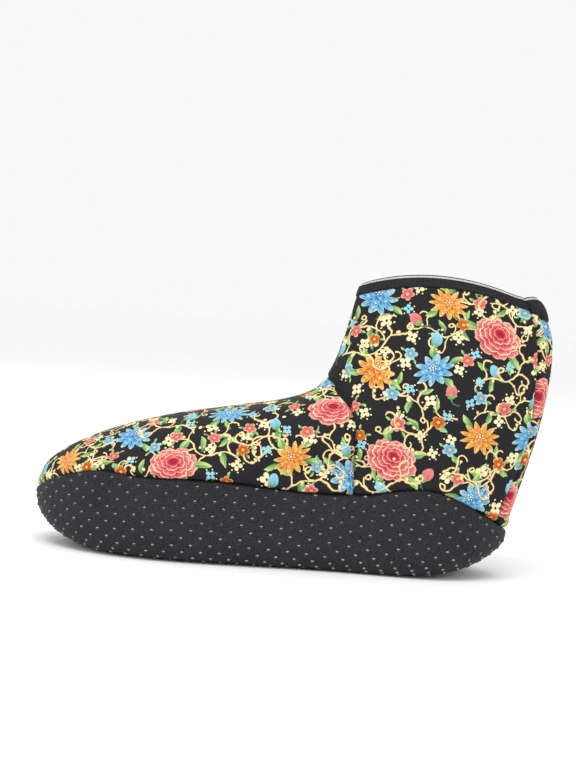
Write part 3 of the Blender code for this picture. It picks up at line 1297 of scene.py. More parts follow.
def draw_crumb(x: Value, y: Value, turn: Value) -> Sequence[Value]:
    """Tiny flower of split petals with specks round it.

    Args:
        x: Place across the motif.
        y: Place up the motif.
        turn: Chance of the motif, from 0 to 1.

    Returns:
        Covers of the petals and the specks.
    """
    spot = Spot(x, y)
    reach = spot.reach()
    angle = spot.angle() + turn * math.tau
    petal = (angle * 2.0).math("COSINE").size() ** 0.5
    petals = (reach / petal.scaled(0.62, 0.10)).step(1.0, 0.9) * reach.step(0.10, 0.15)
    speck = speck_ring(angle, reach, 0.86).step(0.12, 0.08)
    return petals, speck * (angle * 0.7).math("SINE").above(-0.2)


class Arc(NamedTuple):
    """A bow of a tendril in its spray's coordinates: middle, radius, mid direction and half sweep."""

    x: float
    y: float
    radius: float
    toward: float
    sweep: float


class Shoot(NamedTuple):
    """A tendril: where it starts, its heading, and the radius and turn in degrees of each bow."""

    x: float
    y: float
    heading: float
    bows: tuple[tuple[float, float], ...]

    def arcs(self) -> list[Arc]:
        """Works out the bows, each going on from the one before.

        Returns:
            The bows in order.
        """
        x, y, heading = self.x, self.y, math.radians(self.heading)
        found = []
        for radius, degrees in self.bows:
            side = math.copysign(radius, degrees)
            middle_x, middle_y = x - side * math.sin(heading), y + side * math.cos(heading)
            start = math.atan2(y - middle_y, x - middle_x)
            turn = math.radians(degrees)
            found.append(Arc(middle_x, middle_y, radius, start + turn / 2.0, abs(turn) / 2.0))
            heading += turn
            x, y = middle_x + side * math.sin(heading), middle_y - side * math.cos(heading)
        return found


SPRAY_SHOOTS = (
    Shoot(-0.95, -0.22, 50.0, ((0.50, -85.0), (0.42, 95.0), (0.35, -80.0), (0.20, 75.0))),
    Shoot(-0.637, -0.046, 45.0, ((0.30, 62.0), (0.13, -190.0))),
    Shoot(-0.039, -0.207, -40.0, ((0.35, -50.0), (0.15, 150.0))),
    Shoot(0.258, -0.084, -5.0, ((0.28, -78.0), (0.09, -230.0))),
    Shoot(0.508, 0.157, 75.0, ((0.32, 48.0), (0.12, -170.0))),
    Shoot(-0.13, -0.19, 150.0, ((0.24, -75.0),)),
)
# Middle and radius of each loop and speck.
SPRAY_LOOPS = ((-0.155, 0.085, 0.055), (0.965, 0.30, 0.06))
SPRAY_SPECKS = (
    (0.36, -0.50, 0.045), (0.29, -0.585, 0.040), (0.45, -0.47, 0.036), (-0.84, -0.04, 0.045),
    (0.30, 0.60, 0.045), (0.66, 0.235, 0.042), (-0.42, -0.125, 0.045), (0.13, 0.00, 0.042),
)
# Middle, heading in degrees, half length and half width of each leaf.
SPRAY_LEAVES = (
    (-0.52, -0.22, 250.0, 0.22, 0.075),
    (-0.60, 0.30, 130.0, 0.20, 0.070),
    (0.10, 0.10, 70.0, 0.23, 0.078),
)


def draw_spray(x: Value, y: Value, turn: Value) -> Sequence[Value]:
    """Curling tendrils with loops, specks and leaves; some sprays are mirrored.

    Args:
        x: Place across the motif.
        y: Place up the motif.
        turn: Chance of the motif, from 0 to 1.

    Returns:
        Covers of the tendrils and their core, and cover and tone of the leaves.
    """
    flip = turn.above(0.5).scaled(2.0, -1.0)
    spot = Spot(x * flip, y)
    nearest: Value | None = None
    for arc in [arc for shoot in SPRAY_SHOOTS for arc in shoot.arcs()]:
        own = spot.moved(arc.x, arc.y)
        reach = own.reach()
        ahead = own.x * math.cos(arc.toward) + own.y * math.sin(arc.toward)
        outside = (ahead - reach * math.cos(arc.sweep)).math("LESS_THAN", 0.0)
        line = outside.scaled(FAR_OFF, (reach - arc.radius).size())
        nearest = line if nearest is None else nearest.least(line)
    for loop_x, loop_y, radius in SPRAY_LOOPS:
        own = spot.moved(loop_x, loop_y)
        nearest = nearest.least((own.reach() - radius).size())
    for speck_x, speck_y, radius in SPRAY_SPECKS:
        nearest = nearest.least(spot.moved(speck_x, speck_y).reach() - radius + 0.02)
    leaf: Value | None = None
    tone: Value | None = None
    for leaf_x, leaf_y, degrees, length, width in SPRAY_LEAVES:
        own = spot.moved(leaf_x, leaf_y)
        cos, sin = math.cos(math.radians(degrees)), math.sin(math.radians(degrees))
        along = (own.x * cos + own.y * sin) * (1.0 / length)
        off = (own.y * cos - own.x * sin) * (1.0 / width) + along * along * 0.5 - 0.25
        inside = (along * along + off.size()).step(1.0, 0.88)
        shade = along * 0.35 + off.step(-0.12, 0.12) * 0.30 + 0.30
        leaf = inside if leaf is None else leaf.most(inside)
        tone = shade if tone is None else tone.towards(shade, inside)
    return nearest.step(0.0265, 0.0160), nearest.step(0.017, 0.003), leaf, tone


class MotifPlace(NamedTuple):
    """Where the cloth lies in a layer's motifs: x, y, chance, kind, and 1 on the motif's own panel."""

    tree: Tree
    x: Value
    y: Value
    chance: Value
    kind: Value
    own: Value

    def shape(
        self, name: str, outputs: Sequence[str], draw: Callable[..., Sequence[Value]]
    ) -> dict[str, Value]:
        """Draws a shape in the motifs' coordinates.

        Args:
            name: Name of its shader group.
            outputs: Names of what the shape gives.
            draw: Draws the shape.

        Returns:
            What the shape gives, by name.
        """
        made = shader_group(name, ("X", "Y", "Turn"), outputs, draw)
        node = self.tree.group(made, X=self.x, Y=self.y, Turn=self.chance)
        return {output: self.tree.out(node, output) for output in outputs}


class Canvas(NamedTuple):
    """What the print's layers share: the tree, 1 behind the ankle seam, and uneven outlines in x and y."""

    tree: Tree
    behind: Value
    wave_x: Value
    wave_y: Value

    def layer(self, name: str) -> MotifPlace:
        """Reads the coordinates of one layer.

        Args:
            name: Layer and attribute.

        Returns:
            The place in the layer's motifs.
        """
        x, y, code = self.tree.attribute(name)
        own_side = code.above(BEHIND_CODE - 0.01)
        kind = code - own_side * BEHIND_CODE
        own = (own_side - self.behind).size().math("LESS_THAN", 0.5)
        x = x + self.wave_x
        y = y + self.wave_y
        return MotifPlace(self.tree, x, y, kind.math("FRACT"), kind.math("FLOOR"), own)


@dataclass(frozen=True)
class PrintFinish:
    """Bright flower print on black foam knit."""

    name: str = "printed_knit"
    ground: Colour = (0.009, 0.0088, 0.010)
    ground_lit: Colour = (0.025, 0.024, 0.027)
    roughness: float = 0.62
    specular: float = 0.10
    wobble: float = 0.15
    wobble_scales: tuple[float, float] = (190.0, 215.0)
    wash: float = 0.5
    wash_scale: float = 420.0
    leaf_reach: float = 1.36
    crossed_from: float = 0.30
    seam_shade: tuple[float, float] = (0.0002, 0.0011)
    loop_pitch: float = 0.00075
    loop_depth: float = 0.00012

    def material(self, knit: bpy.types.NodeTree) -> bpy.types.Material:
        """Makes the material that draws the scattered motifs layer by layer.

        Args:
            knit: Shader group of the knit's loops.

        Returns:
            The material.
        """
        material, tree, surface = blank(self.name)
        loops = tree.group(knit, Pitch=self.loop_pitch, **cloth_place(tree))
        shade = tree.out(loops, "Shade")
        behind = tree.number("behind_ankle_seam")
        waves = [(tree.noise(scale, 3.0) - 0.5) * self.wobble for scale in self.wobble_scales]
        canvas = Canvas(tree, behind.above(0.0), *waves)
        # Painted shade: the ground is lighter on the loops and darker where they lie lower.
        colour = shade.tint([(0.2, self.ground), (1.0, self.ground_lit)])
        colour, _, _ = self.vines(canvas, colour, "trail")
        colour, vine_ink, vine_cover = self.vines(canvas, colour, "spray")
        colour = self.sprigs(canvas, self.crumbs(canvas, colour))
        colour = self.blooms(canvas, colour, vine_ink, vine_cover)
        # Painted shade: the whole print is darkened by the knit's loop shade, and a band along the ankle
        # seam is painted darker, down to half, for the shade in its groove.
        seam_darkening = behind.size().step(*self.seam_shade).scaled(0.5, 0.5)
        colour = paint(colour, shade.scaled(0.35, 0.78) * seam_darkening, 1.0, "MULTIPLY")
        dress(tree, surface, colour, Roughness=self.roughness, Specular_IOR_Level=self.specular)
        raise_bump(tree, surface, tree.out(loops, "Height"), self.loop_depth)
        return material

    def vines(self, canvas: Canvas, colour: Value, name: str) -> tuple[Value, Value, Value]:
        """Draws tendrils with leaves.

        Args:
            canvas: What the print's layers share.
            colour: Colour of the print so far.
            name: Layer of tendrils.

        Returns:
            The colour with the tendrils, and their own ink and cover.
        """
        place = canvas.layer(name)
        spray = place.shape(name + "_shape", ("Line", "Core", "Leaf", "Tone"), draw_spray)
        colour = paint(colour, spray["Tone"].tint(GREENS), spray["Leaf"] * place.own)
        ink = spray["Core"].tint(VINES)
        cover = spray["Line"] * place.own
        return paint(colour, ink, cover), ink, cover

    def crumbs(self, canvas: Canvas, colour: Value) -> Value:
        """Draws tiny cream, orange and blue flowers.

        Args:
            canvas: What the print's layers share.
            colour: Colour of the print so far.

        Returns:
            The colour with the flowers.
        """
        place = canvas.layer("crumb")
        flower = place.shape("crumb_shape", ("Petals", "Specks"), draw_crumb)
        petals = (place.kind / HUES + 0.01).tint(CRUMB_INKS, stepped=True)
        colour = paint(colour, petals, flower["Petals"] * place.own)
        return paint(colour, Ink.CREAM.value, flower["Specks"] * place.own)

    def sprigs(self, canvas: Canvas, colour: Value) -> Value:
        """Draws small flowers and buds with their leaves.

        Args:
            canvas: What the print's layers share.
            colour: Colour of the print so far.

        Returns:
            The colour with the flowers.
        """
        place = canvas.layer("sprig")
        blossom = place.shape("sprig_shape", ("Tone", "Petals", "Line", "Eye"), draw_blossom)
        bud = place.shape("bud", ("Tone", "Head", "Green"), draw_bud)
        wide = place._replace(x=place.x * self.leaf_reach, y=place.y * self.leaf_reach)
        leaves = wide.shape("leaves", ("Tone", "Cover"), draw_leaves)
        is_bud = place.kind.above(Sprig.PINK_BUD - 0.5)
        is_flower = is_bud.scaled(-1.0, 1.0) * place.own
        is_bud_here = is_bud * place.own
        colour = paint(colour, leaves["Tone"].tint(GREENS), leaves["Cover"] * is_flower)
        hue = place.kind.towards((place.kind - float(Sprig.PINK_BUD)) * 2.0, is_bud) / HUES + 0.02
        deep = hue.tint(SPRIG_DEEP, stepped=True)
        light = hue.tint(SPRIG_LIGHT, stepped=True)
        petals = paint(paint(deep, light, blossom["Tone"]), Ink.CREAM.value, blossom["Line"])
        colour = paint(colour, petals, blossom["Petals"] * is_flower)
        colour = paint(colour, Ink.ORANGE_LIGHT.value, blossom["Eye"] * is_flower)
        colour = paint(colour, paint(deep, light, bud["Tone"]), bud["Head"] * is_bud_here)
        return paint(colour, (place.y * 0.8 + 0.6).tint(GREENS), bud["Green"] * is_bud_here)

    def blooms(self, canvas: Canvas, colour: Value, vine_ink: Value, vine_cover: Value) -> Value:
        """Draws large flowers with their leaves, and tendrils that cross some of them.

        Args:
            canvas: What the print's layers share.
            colour: Colour of the print so far.
            vine_ink: Ink of the tendrils.
            vine_cover: Cover of the tendrils.

        Returns:
            The colour with the flowers.
        """
        place = canvas.layer("bloom")
        ruffle = place.shape("bloom_shape", ("Tone", "Cover", "Line"), draw_ruffle)
        rays = place.shape("rays", ("Tone", "Cover", "Line", "Eye"), draw_rays)
        leaves = place.shape("bloom_leaves", ("Tone", "Cover"), draw_leaves)
        colour = paint(colour, leaves["Tone"].tint(GREENS), leaves["Cover"] * place.own)
        is_rays = place.kind.above(Bloom.ORANGE_RAYS - 0.5)
        is_ruffle = is_rays.scaled(-1.0, 1.0) * place.own
        wash = (canvas.tree.noise(self.wash_scale) - 0.5) * self.wash
        petals = paint((ruffle["Tone"] + wash).tint(PINKS), Ink.CREAM.value, ruffle["Line"])
        colour = paint(colour, petals, ruffle["Cover"] * is_ruffle)
        tone = rays["Tone"] + wash
        petals = paint(tone.tint(ORANGES), tone.tint(BLUES), place.kind.above(Bloom.BLUE_RAYS - 0.5))
        petals = paint(petals, Ink.CREAM.value, rays["Line"].most(rays["Eye"]))
        colour = paint(colour, petals, rays["Cover"] * is_rays * place.own)
        return paint(colour, vine_ink, vine_cover * place.chance.above(self.crossed_from))


class Ridge(NamedTuple):
    """A soft ridge along a seam, or a groove below 0: height, distance from the seam, and width."""

    height: float
    place: float
    width: float

    def over(self, distance: np.ndarray) -> np.ndarray:
        """Height of the ridge at each distance from the seam."""
        return self.height * bell(distance, self.place, self.width)


class Fold(NamedTuple):
    """A soft trough laid over the upper, or a ridge where its depth is below 0.

    Its path is given by columns in degrees and levels of the upper.
    """

    path: tuple[tuple[float, float], ...]
    depth: float
    width: float


FOLDS = (
    Fold(((22.0, 8.3), (38.0, 7.9), (56.0, 7.2), (74.0, 6.2)), 0.0026, 0.0070),
    Fold(((338.0, 8.3), (322.0, 7.9), (304.0, 7.2), (286.0, 6.2)), 0.0026, 0.0070),
    Fold(((20.0, 9.2), (55.0, 8.6), (85.0, 7.6)), -0.0017, 0.0080),
    Fold(((156.0, 8.4), (140.0, 7.8), (118.0, 7.6), (100.0, 8.0)), 0.0019, 0.0070),
    Fold(((153.0, 6.6), (138.0, 6.1), (118.0, 6.2)), 0.0016, 0.0070),
    Fold(((205.0, 7.6), (225.0, 7.2), (245.0, 7.5)), 0.0020, 0.0080),
    Fold(((40.0, 11.2), (62.0, 10.2), (80.0, 9.0)), 0.0016, 0.0080),
    Fold(((140.0, 11.0), (128.0, 10.0), (124.0, 8.9)), 0.0014, 0.0080),
    Fold(((300.0, 11.0), (285.0, 9.8), (278.0, 8.6)), 0.0017, 0.0085),
    Fold(((46.0, 0.9), (44.0, 2.2), (40.0, 3.4)), 0.0013, 0.0060),
    Fold(((112.0, 0.7), (106.0, 2.0), (104.0, 3.6)), 0.0014, 0.0070),
)
# Pace, start and share of the waves in the puckers of the sole seam.
PUCKER_WAVES = ((2.1, 0.0, 0.6), (3.37, 1.0, 0.5), (1.13, 2.0, 0.5))


@dataclass
class PrintedUpper:
    """Hollow upper with its print, rolled sole seam, ankle seam, back seam and soft folds."""

    form: SockForm
    back_groove: Ridge = Ridge(-0.0015, 0.0, 0.0009)
    back_lip: Ridge = Ridge(0.0007, 0.0030, 0.0022)
    ankle_groove: Ridge = Ridge(-0.0011, 0.0, 0.0012)
    ankle_lip: Ridge = Ridge(0.0004, 0.0032, 0.0024)
    roll: float = 0.0019
    overhang: Ridge = Ridge(0.0009, 0.0032, 0.0026)
    pucker: Ridge = Ridge(0.00035, 0.003, 0.0055)
    pucker_pace: float = 40.0
    fold_steps: int = 60
    fold_fade: float = 0.35
    fold_start: float = 0.05
    ankle_seam_line: tuple[tuple[float, float], ...] = (
        (0.0060, 0.1010), (0.0200, 0.0950), (0.0310, 0.0860), (0.0360, 0.0740), (0.0370, 0.0300),
    )
    print_seed: int = 140
    levels: np.ndarray = field(init=False)
    columns: np.ndarray = field(init=False)

    def __post_init__(self) -> None:
        """Spaces the rows closely at the seam and over the instep."""
        last = self.form.band_start
        self.levels = np.concatenate([
            SEAM_STEPS, np.arange(0.45, 3.0, 0.11), np.arange(3.0, 8.0, 0.075),
            np.arange(8.0, last - 0.05, 0.11), [last],
        ])
        self.columns = self.form.columns()

    def behind_ankle_seam(self, grid: np.ndarray) -> np.ndarray:
        """Measures how far each point lies behind the ankle seam.

        Args:
            grid: Points of the plain form.

        Returns:
            The distances, below 0 on the foot's panel.
        """
        line = np.array(self.ankle_seam_line)
        fall = -grid[..., 2]
        seam_x = np.interp(fall, -line[:, 1], line[:, 0])
        slope = np.interp(fall, -line[:, 1], np.gradient(line[:, 0], line[:, 1]))
        return np.maximum((grid[..., 0] - seam_x) / np.hypot(1.0, slope), -fall - line[0, 1])

    def relief(self, grid: np.ndarray) -> np.ndarray:
        """Adds up the seams, rolls, puckers and folds.

        Args:
            grid: Points of the plain form.

        Returns:
            Height of each point over the plain form.
        """
        height = run_up(grid)
        relief = self.overhang.over(height) - rolled(height, self.roll)
        turn = np.cos(self.columns) * self.pucker_pace
        wave = sum(share * np.sin(turn * pace + start) for pace, start, share in PUCKER_WAVES)
        relief += wave[None, :] * self.pucker.over(height)
        aside = self.form.beside_back_seam(grid)
        relief += self.back_groove.over(aside) + self.back_lip.over(aside)
        ankle = self.behind_ankle_seam(grid)
        relief += self.ankle_groove.over(ankle) + self.ankle_lip.over(np.abs(ankle))
        for fold in FOLDS:
            relief -= fold.depth * self.fold_share(grid, fold)
        return relief

    def fold_share(self, grid: np.ndarray, fold: Fold) -> np.ndarray:
        """Spreads a fold: soft across it and fading at its ends.

        Args:
            grid: Points of the plain form.
            fold: The fold.

        Returns:
            Share of its depth at each point.
        """
        path = np.array(fold.path)
        steps = np.linspace(0.0, len(path) - 1.0, self.fold_steps)
        angles = np.radians(np.interp(steps, np.arange(len(path)), path[:, 0]) % 360.0)
        levels = np.interp(steps, np.arange(len(path)), path[:, 1])
        line = np.array([
            self.form.upper_grid(np.array([level]), np.array([angle]))[0, 0]
            for level, angle in zip(levels, angles)
        ])
        nearer = np.minimum(steps, steps[-1] - steps)
        ends = smooth_step(nearer / (self.fold_fade * steps[-1]) + self.fold_start)
        best = np.zeros(grid.shape[:2])
        for point, end in zip(line, ends):
            apart = np.linalg.norm(grid - point, axis=-1)
            best = np.maximum(best, end * bell(apart, 0.0, fold.width))
        return best

    def build(self, knit: bpy.types.NodeTree, lining: bpy.types.Material) -> bpy.types.Object:
        """Builds and dresses the upper.

        Args:
            knit: Shader group of the knit's loops.
            lining: Material of its inside.

        Returns:
            The piece.
        """
        grid = self.form.drawn_upper(self.levels, self.columns)
        normals = outward(grid)
        outer = grid + normals * self.relief(grid)[..., None]
        outer[0] = self.form.seam_line(self.columns, self.roll)
        keep = np.unique(np.concatenate([np.arange(0, len(grid), INSIDE_EVERY), [1, 2, len(grid) - 1]]))
        inner = (grid - normals * self.form.upper_wall)[keep]
        mesh = Mesh()
        outside = mesh.add(outer)
        inside = mesh.add(inner)
        mesh.skin(outside, 0)
        mesh.skin(np.concatenate([outside[-1:], inside[::-1], outside[:1]]), 1)
        piece = mesh.made("printed_upper", [PrintFinish().material(knit), lining])
        cloth = np.stack([grid[..., 0], run_up(grid, (1, 2))], axis=-1)
        cloth_map(piece, np.concatenate([cloth.reshape(-1, 2), cloth[keep].reshape(-1, 2)]))
        self.lay_print(piece, grid, normals)
        return piece

    def lay_print(self, piece: bpy.types.Object, grid: np.ndarray, normals: np.ndarray) -> None:
        """Scatters the print's layers and writes their coordinates to the piece.

        Args:
            piece: Piece to write to.
            grid: Points of the plain form.
            normals: Outward normals of the plain form.
        """
        behind = self.behind_ankle_seam(grid)
        point_values(piece, "behind_ankle_seam", behind.ravel())
        motifs = Motifs(grid, normals, behind, self.columns, self.form.back_seam)
        for place, layer in enumerate(PRINT_LAYERS):
            rng = np.random.default_rng(self.print_seed + 100 * place)
            corner_values(piece, layer.name, motifs.laid(layer, rng))


@dataclass
class GripSole:
    """Cupped sole of black foam knit, with the raised dots of its tread."""

    form: SockForm
    inset: float = 0.0005
    inset_run: float = 0.004
    roll: float = 0.0019
    seam_swell: Ridge = Ridge(0.0004, 0.004, 0.003)
    dot_along: float = 0.0099
    dot_across: float = 0.0037
    dot_width: float = 0.0021
    dot_height: float = 0.0005
    dot_clear: float = 0.0024
    dot_crowd: float = 0.9
    dot_start: float = 0.6
    levels: np.ndarray = field(init=False)
    columns: np.ndarray = field(init=False)

    def __post_init__(self) -> None:
        """Spaces the rows closely towards the seam."""
        near_seam = len(SOLE_ROWS) - np.array(SEAM_STEPS[::-1])
        self.levels = np.concatenate([np.arange(0.0, 3.6, 0.12), near_seam])
        self.columns = self.form.columns()

    def surfaces(self) -> tuple[np.ndarray, np.ndarray, np.ndarray]:
        """Shapes the outside.

        Returns:
            Plain form, its normals and the fabric's face.
        """
        grid = self.form.sole_grid(self.levels, self.columns)
        normals = outward(grid)
        normals[0] = unit(normals[0] + np.array([0.0, 0.0, -1.0]))
        up = run_up(grid)
        below = up[-1:] - up
        relief = self.seam_swell.over(below) - rolled(below, self.roll)
        relief -= self.inset * smooth_step(below / self.inset_run)
        face = grid + normals * relief[..., None]
        face[-1] = self.form.seam_line(self.columns, self.roll)
        face[0, :, 2] = np.maximum(grid[0, :, 2] + self.inset, self.inset)
        return grid, normals, face

    def build(self, finish: bpy.types.Material, lining: bpy.types.Material) -> bpy.types.Object:
        """Builds the sole's shell: its outer face, and the lined inside.

        Args:
            finish: Material of the outside.
            lining: Material of the inside.

        Returns:
            The piece.
        """
        grid, normals, face = self.surfaces()
        keep = np.unique(np.concatenate([np.arange(0, len(grid), INSIDE_EVERY), [len(grid) - 1]]))
        inner = (grid - normals * self.form.sole_wall)[keep]
        mesh = Mesh()
        outside = mesh.add(face)
        inside = mesh.add(inner)
        mesh.skin(outside, 0)
        mesh.skin(np.concatenate([outside[-1:], inside[::-1]]), 1)
        mesh.close_across(outside[0], 0, False)
        mesh.close_across(inside[0], 1, True)
        piece = mesh.made("grip_sole", [finish, lining])
        flat = self.flat_places(grid, face)
        cloth_map(piece, np.concatenate([flat.reshape(-1, 2), flat[keep].reshape(-1, 2)]))
        return piece

    def flat_places(self, grid: np.ndarray, face: np.ndarray) -> np.ndarray:
        """Folds the sides flat out of the tread.

        Args:
            grid: Points of the plain form.
            face: Points of the fabric's face.

        Returns:
            Place of each point on the cloth.
        """
        plan = grid[0, :, :2]
        along = np.roll(plan, -1, axis=0) - np.roll(plan, 1, axis=0)
        out = unit(np.stack([along[:, 1], -along[:, 0]], axis=1))
        return plan[None] + out[None] * run_up(face)[..., None]

    def dots(self, finish: bpy.types.Material) -> bpy.types.Object:
        """Raised dots in staggered rows over the tread and round the sides.

        Args:
            finish: Material of the dots.

        Returns:
            The piece.
        """
        grid, normals, face = self.surfaces()
        places, ways = self.side_dots(normals, face)
        outline = grid[0, :, :2]
        low, high = outline.min(axis=0), outline.max(axis=0)
        tread = face[0, : len(self.columns) // 2]
        slopes = np.gradient(tread[:, 2], tread[:, 0])
        for row, y in enumerate(np.arange(low[1], high[1], self.dot_across)):
            for x in np.arange(low[0] + (row % 2) * self.dot_along / 2.0, high[0], self.dot_along):
                spot = np.array([x, y, np.interp(x, tread[:, 0], tread[:, 2])])
                nearest = np.linalg.norm(np.array(places) - spot, axis=1).min()
                crowded = nearest < self.dot_crowd * self.dot_across
                if inside_outline(outline, x, y) and not crowded:
                    places.append(spot)
                    ways.append(unit(np.array([np.interp(x, tread[:, 0], slopes), 0.0, -1.0])))
        tree = repeat_tree("grip_dots", finish)
        ball = (self.dot_width**2 / 4.0 + self.dot_height**2) / (2.0 * self.dot_height)
        sunk = np.array(places) - (ball - self.dot_height) * np.array(ways)
        return repeated("grip_dots", tree, sunk, np.array(ways), {"Radius": ball})

    def side_dots(self, normals: np.ndarray, face: np.ndarray) -> tuple[list[np.ndarray], list[np.ndarray]]:
        """Sets dots on the sides, in rows that run round the sole.

        Args:
            normals: Outward normals of the plain form.
            face: Points of the fabric's face.

        Returns:
            Places and outward directions of the dots.
        """
        up = run_up(face)
        middle = face[len(face) // 2]
        steps = np.linalg.norm(np.roll(middle, -1, axis=0) - middle, axis=1)
        around = np.concatenate([[0.0], np.cumsum(steps)])
        count = round(around[-1] / self.dot_along)
        places: list[np.ndarray] = []
        ways: list[np.ndarray] = []
        for row in range(int(up[-1].max() / self.dot_across)):
            rise = (row + self.dot_start) * self.dot_across
            where = (np.arange(count) + 0.5 * (row % 2)) / count * around[-1]
            top = np.interp(where, around, np.append(up[-1], up[-1, 0]))
            where = where[rise < top - self.dot_clear]
            spots = around_ring(at_rise(face, up, rise), around, where)
            facing = unit(around_ring(at_rise(normals, up, rise), around, where))
            clear = spots[:, 2] > self.dot_width / 2.0
            places += list(spots[clear])
            ways += list(facing[clear])
        return places, ways


def at_rise(grid: np.ndarray, up: np.ndarray, rise: float) -> np.ndarray:
    """Reads a grid at one length up its columns.

    Args:
        grid: Vectors of the grid.
        up: Length up each column.
        rise: Wanted length.

    Returns:
        A vector for each column.
    """
    return np.array([
        [np.interp(rise, up[:, column], grid[:, column, axis]) for axis in range(3)]
        for column in range(grid.shape[1])
    ])


def around_ring(ring: np.ndarray, around: np.ndarray, where: np.ndarray) -> np.ndarray:
    """Vectors of a closed ring at the wanted lengths round it."""
    closed = np.concatenate([ring, ring[:1]])
    return np.stack([np.interp(where, around, closed[:, axis]) for axis in range(3)], axis=1)


def inside_outline(outline: np.ndarray, x: float, y: float) -> bool:
    """Tests whether a place lies within a closed outline.

    Args:
        outline: Corners of the outline.
        x: Place along the sole.
        y: Place across the sole.

    Returns:
        True where it does.
    """
    after = np.roll(outline, -1, axis=0)
    crosses = (outline[:, 1] > y) != (after[:, 1] > y)
    rise = np.where(crosses, after[:, 1] - outline[:, 1], 1.0)
    where = outline[:, 0] + (y - outline[:, 1]) / rise * (after[:, 0] - outline[:, 0])
    return bool(np.count_nonzero(crosses & (where > x)) % 2)


def repeat_tree(name: str, finish: bpy.types.Material) -> bpy.types.NodeTree:
    """Geometry Nodes tree that sets a ball on every point of a mesh.

    Args:
        name: Name of the tree.
        finish: Material of the balls.

    Returns:
        The tree, with an input for the radius of the balls.
    """
    tree = bpy.data.node_groups.new(name, "GeometryNodeTree")
    tree.interface.new_socket("Geometry", in_out="INPUT", socket_type="NodeSocketGeometry")
    tree.interface.new_socket("Radius", in_out="INPUT", socket_type="NodeSocketFloat")
    tree.interface.new_socket("Geometry", in_out="OUTPUT", socket_type="NodeSocketGeometry")
    nodes, link = tree.nodes, tree.links.new
    entry = nodes.new("NodeGroupInput")
    ball = nodes.new("GeometryNodeMeshUVSphere")
    ball.inputs["Segments"].default_value = BALL_SEGMENTS
    ball.inputs["Rings"].default_value = BALL_RINGS
    smooth = nodes.new("GeometryNodeSetShadeSmooth")
    turn = nodes.new("FunctionNodeAlignRotationToVector")
    turn.axis = "Z"
    facing = nodes.new("GeometryNodeInputNamedAttribute")
    facing.data_type = "FLOAT_VECTOR"
    facing.inputs["Name"].default_value = "facing"
    place = nodes.new("GeometryNodeInstanceOnPoints")
    real = nodes.new("GeometryNodeRealizeInstances")
    clad = nodes.new("GeometryNodeSetMaterial")
    clad.inputs["Material"].default_value = finish
    leave = nodes.new("NodeGroupOutput")
    link(entry.outputs["Radius"], ball.inputs["Radius"])
    link(ball.outputs["Mesh"], smooth.inputs["Geometry"])
    link(facing.outputs["Attribute"], turn.inputs["Vector"])
    link(entry.outputs["Geometry"], place.inputs["Points"])
    link(smooth.outputs["Geometry"], place.inputs["Instance"])
    link(turn.outputs["Rotation"], place.inputs["Rotation"])
    link(place.outputs["Instances"], real.inputs["Geometry"])
    link(real.outputs["Geometry"], clad.inputs["Geometry"])
    link(clad.outputs["Geometry"], leave.inputs["Geometry"])
    return tree


def repeated(
    name: str,
    tree: bpy.types.NodeTree,
    places: np.ndarray,
    facing: np.ndarray,
    sizes: dict[str, float],
) -> bpy.types.Object:
    """Plain mesh of everything that a repeat tree grows on points.

    Args:
        name: Name of the piece.
        tree: Geometry Nodes tree from repeat_tree.
        places: Points that it grows on.
        facing: Outward direction at each point.
        sizes: Values for the tree's named inputs.

    Returns:
        The piece.
    """
    seeds = bpy.data.meshes.new(name + "_points")
    seeds.from_pydata(places.tolist(), [], [])
    written = seeds.attributes.new("facing", "FLOAT_VECTOR", "POINT")
    written.data.foreach_set("vector", facing.astype(np.float32).ravel())
    grower = bpy.data.objects.new(name + "_points", seeds)
    bpy.context.scene.collection.objects.link(grower)
    modifier = grower.modifiers.new("repeat", "NODES")
    modifier.node_group = tree
    for item in tree.interface.items_tree:
        if item.in_out == "INPUT" and item.name in sizes:
            modifier[item.identifier] = sizes[item.name]
    evaluated = grower.evaluated_get(bpy.context.evaluated_depsgraph_get())
    data = bpy.data.meshes.new_from_object(evaluated)
    data.name = name
    bpy.data.objects.remove(grower)
    piece = bpy.data.objects.new(name, data)
    bpy.context.scene.collection.objects.link(piece)
    return piece


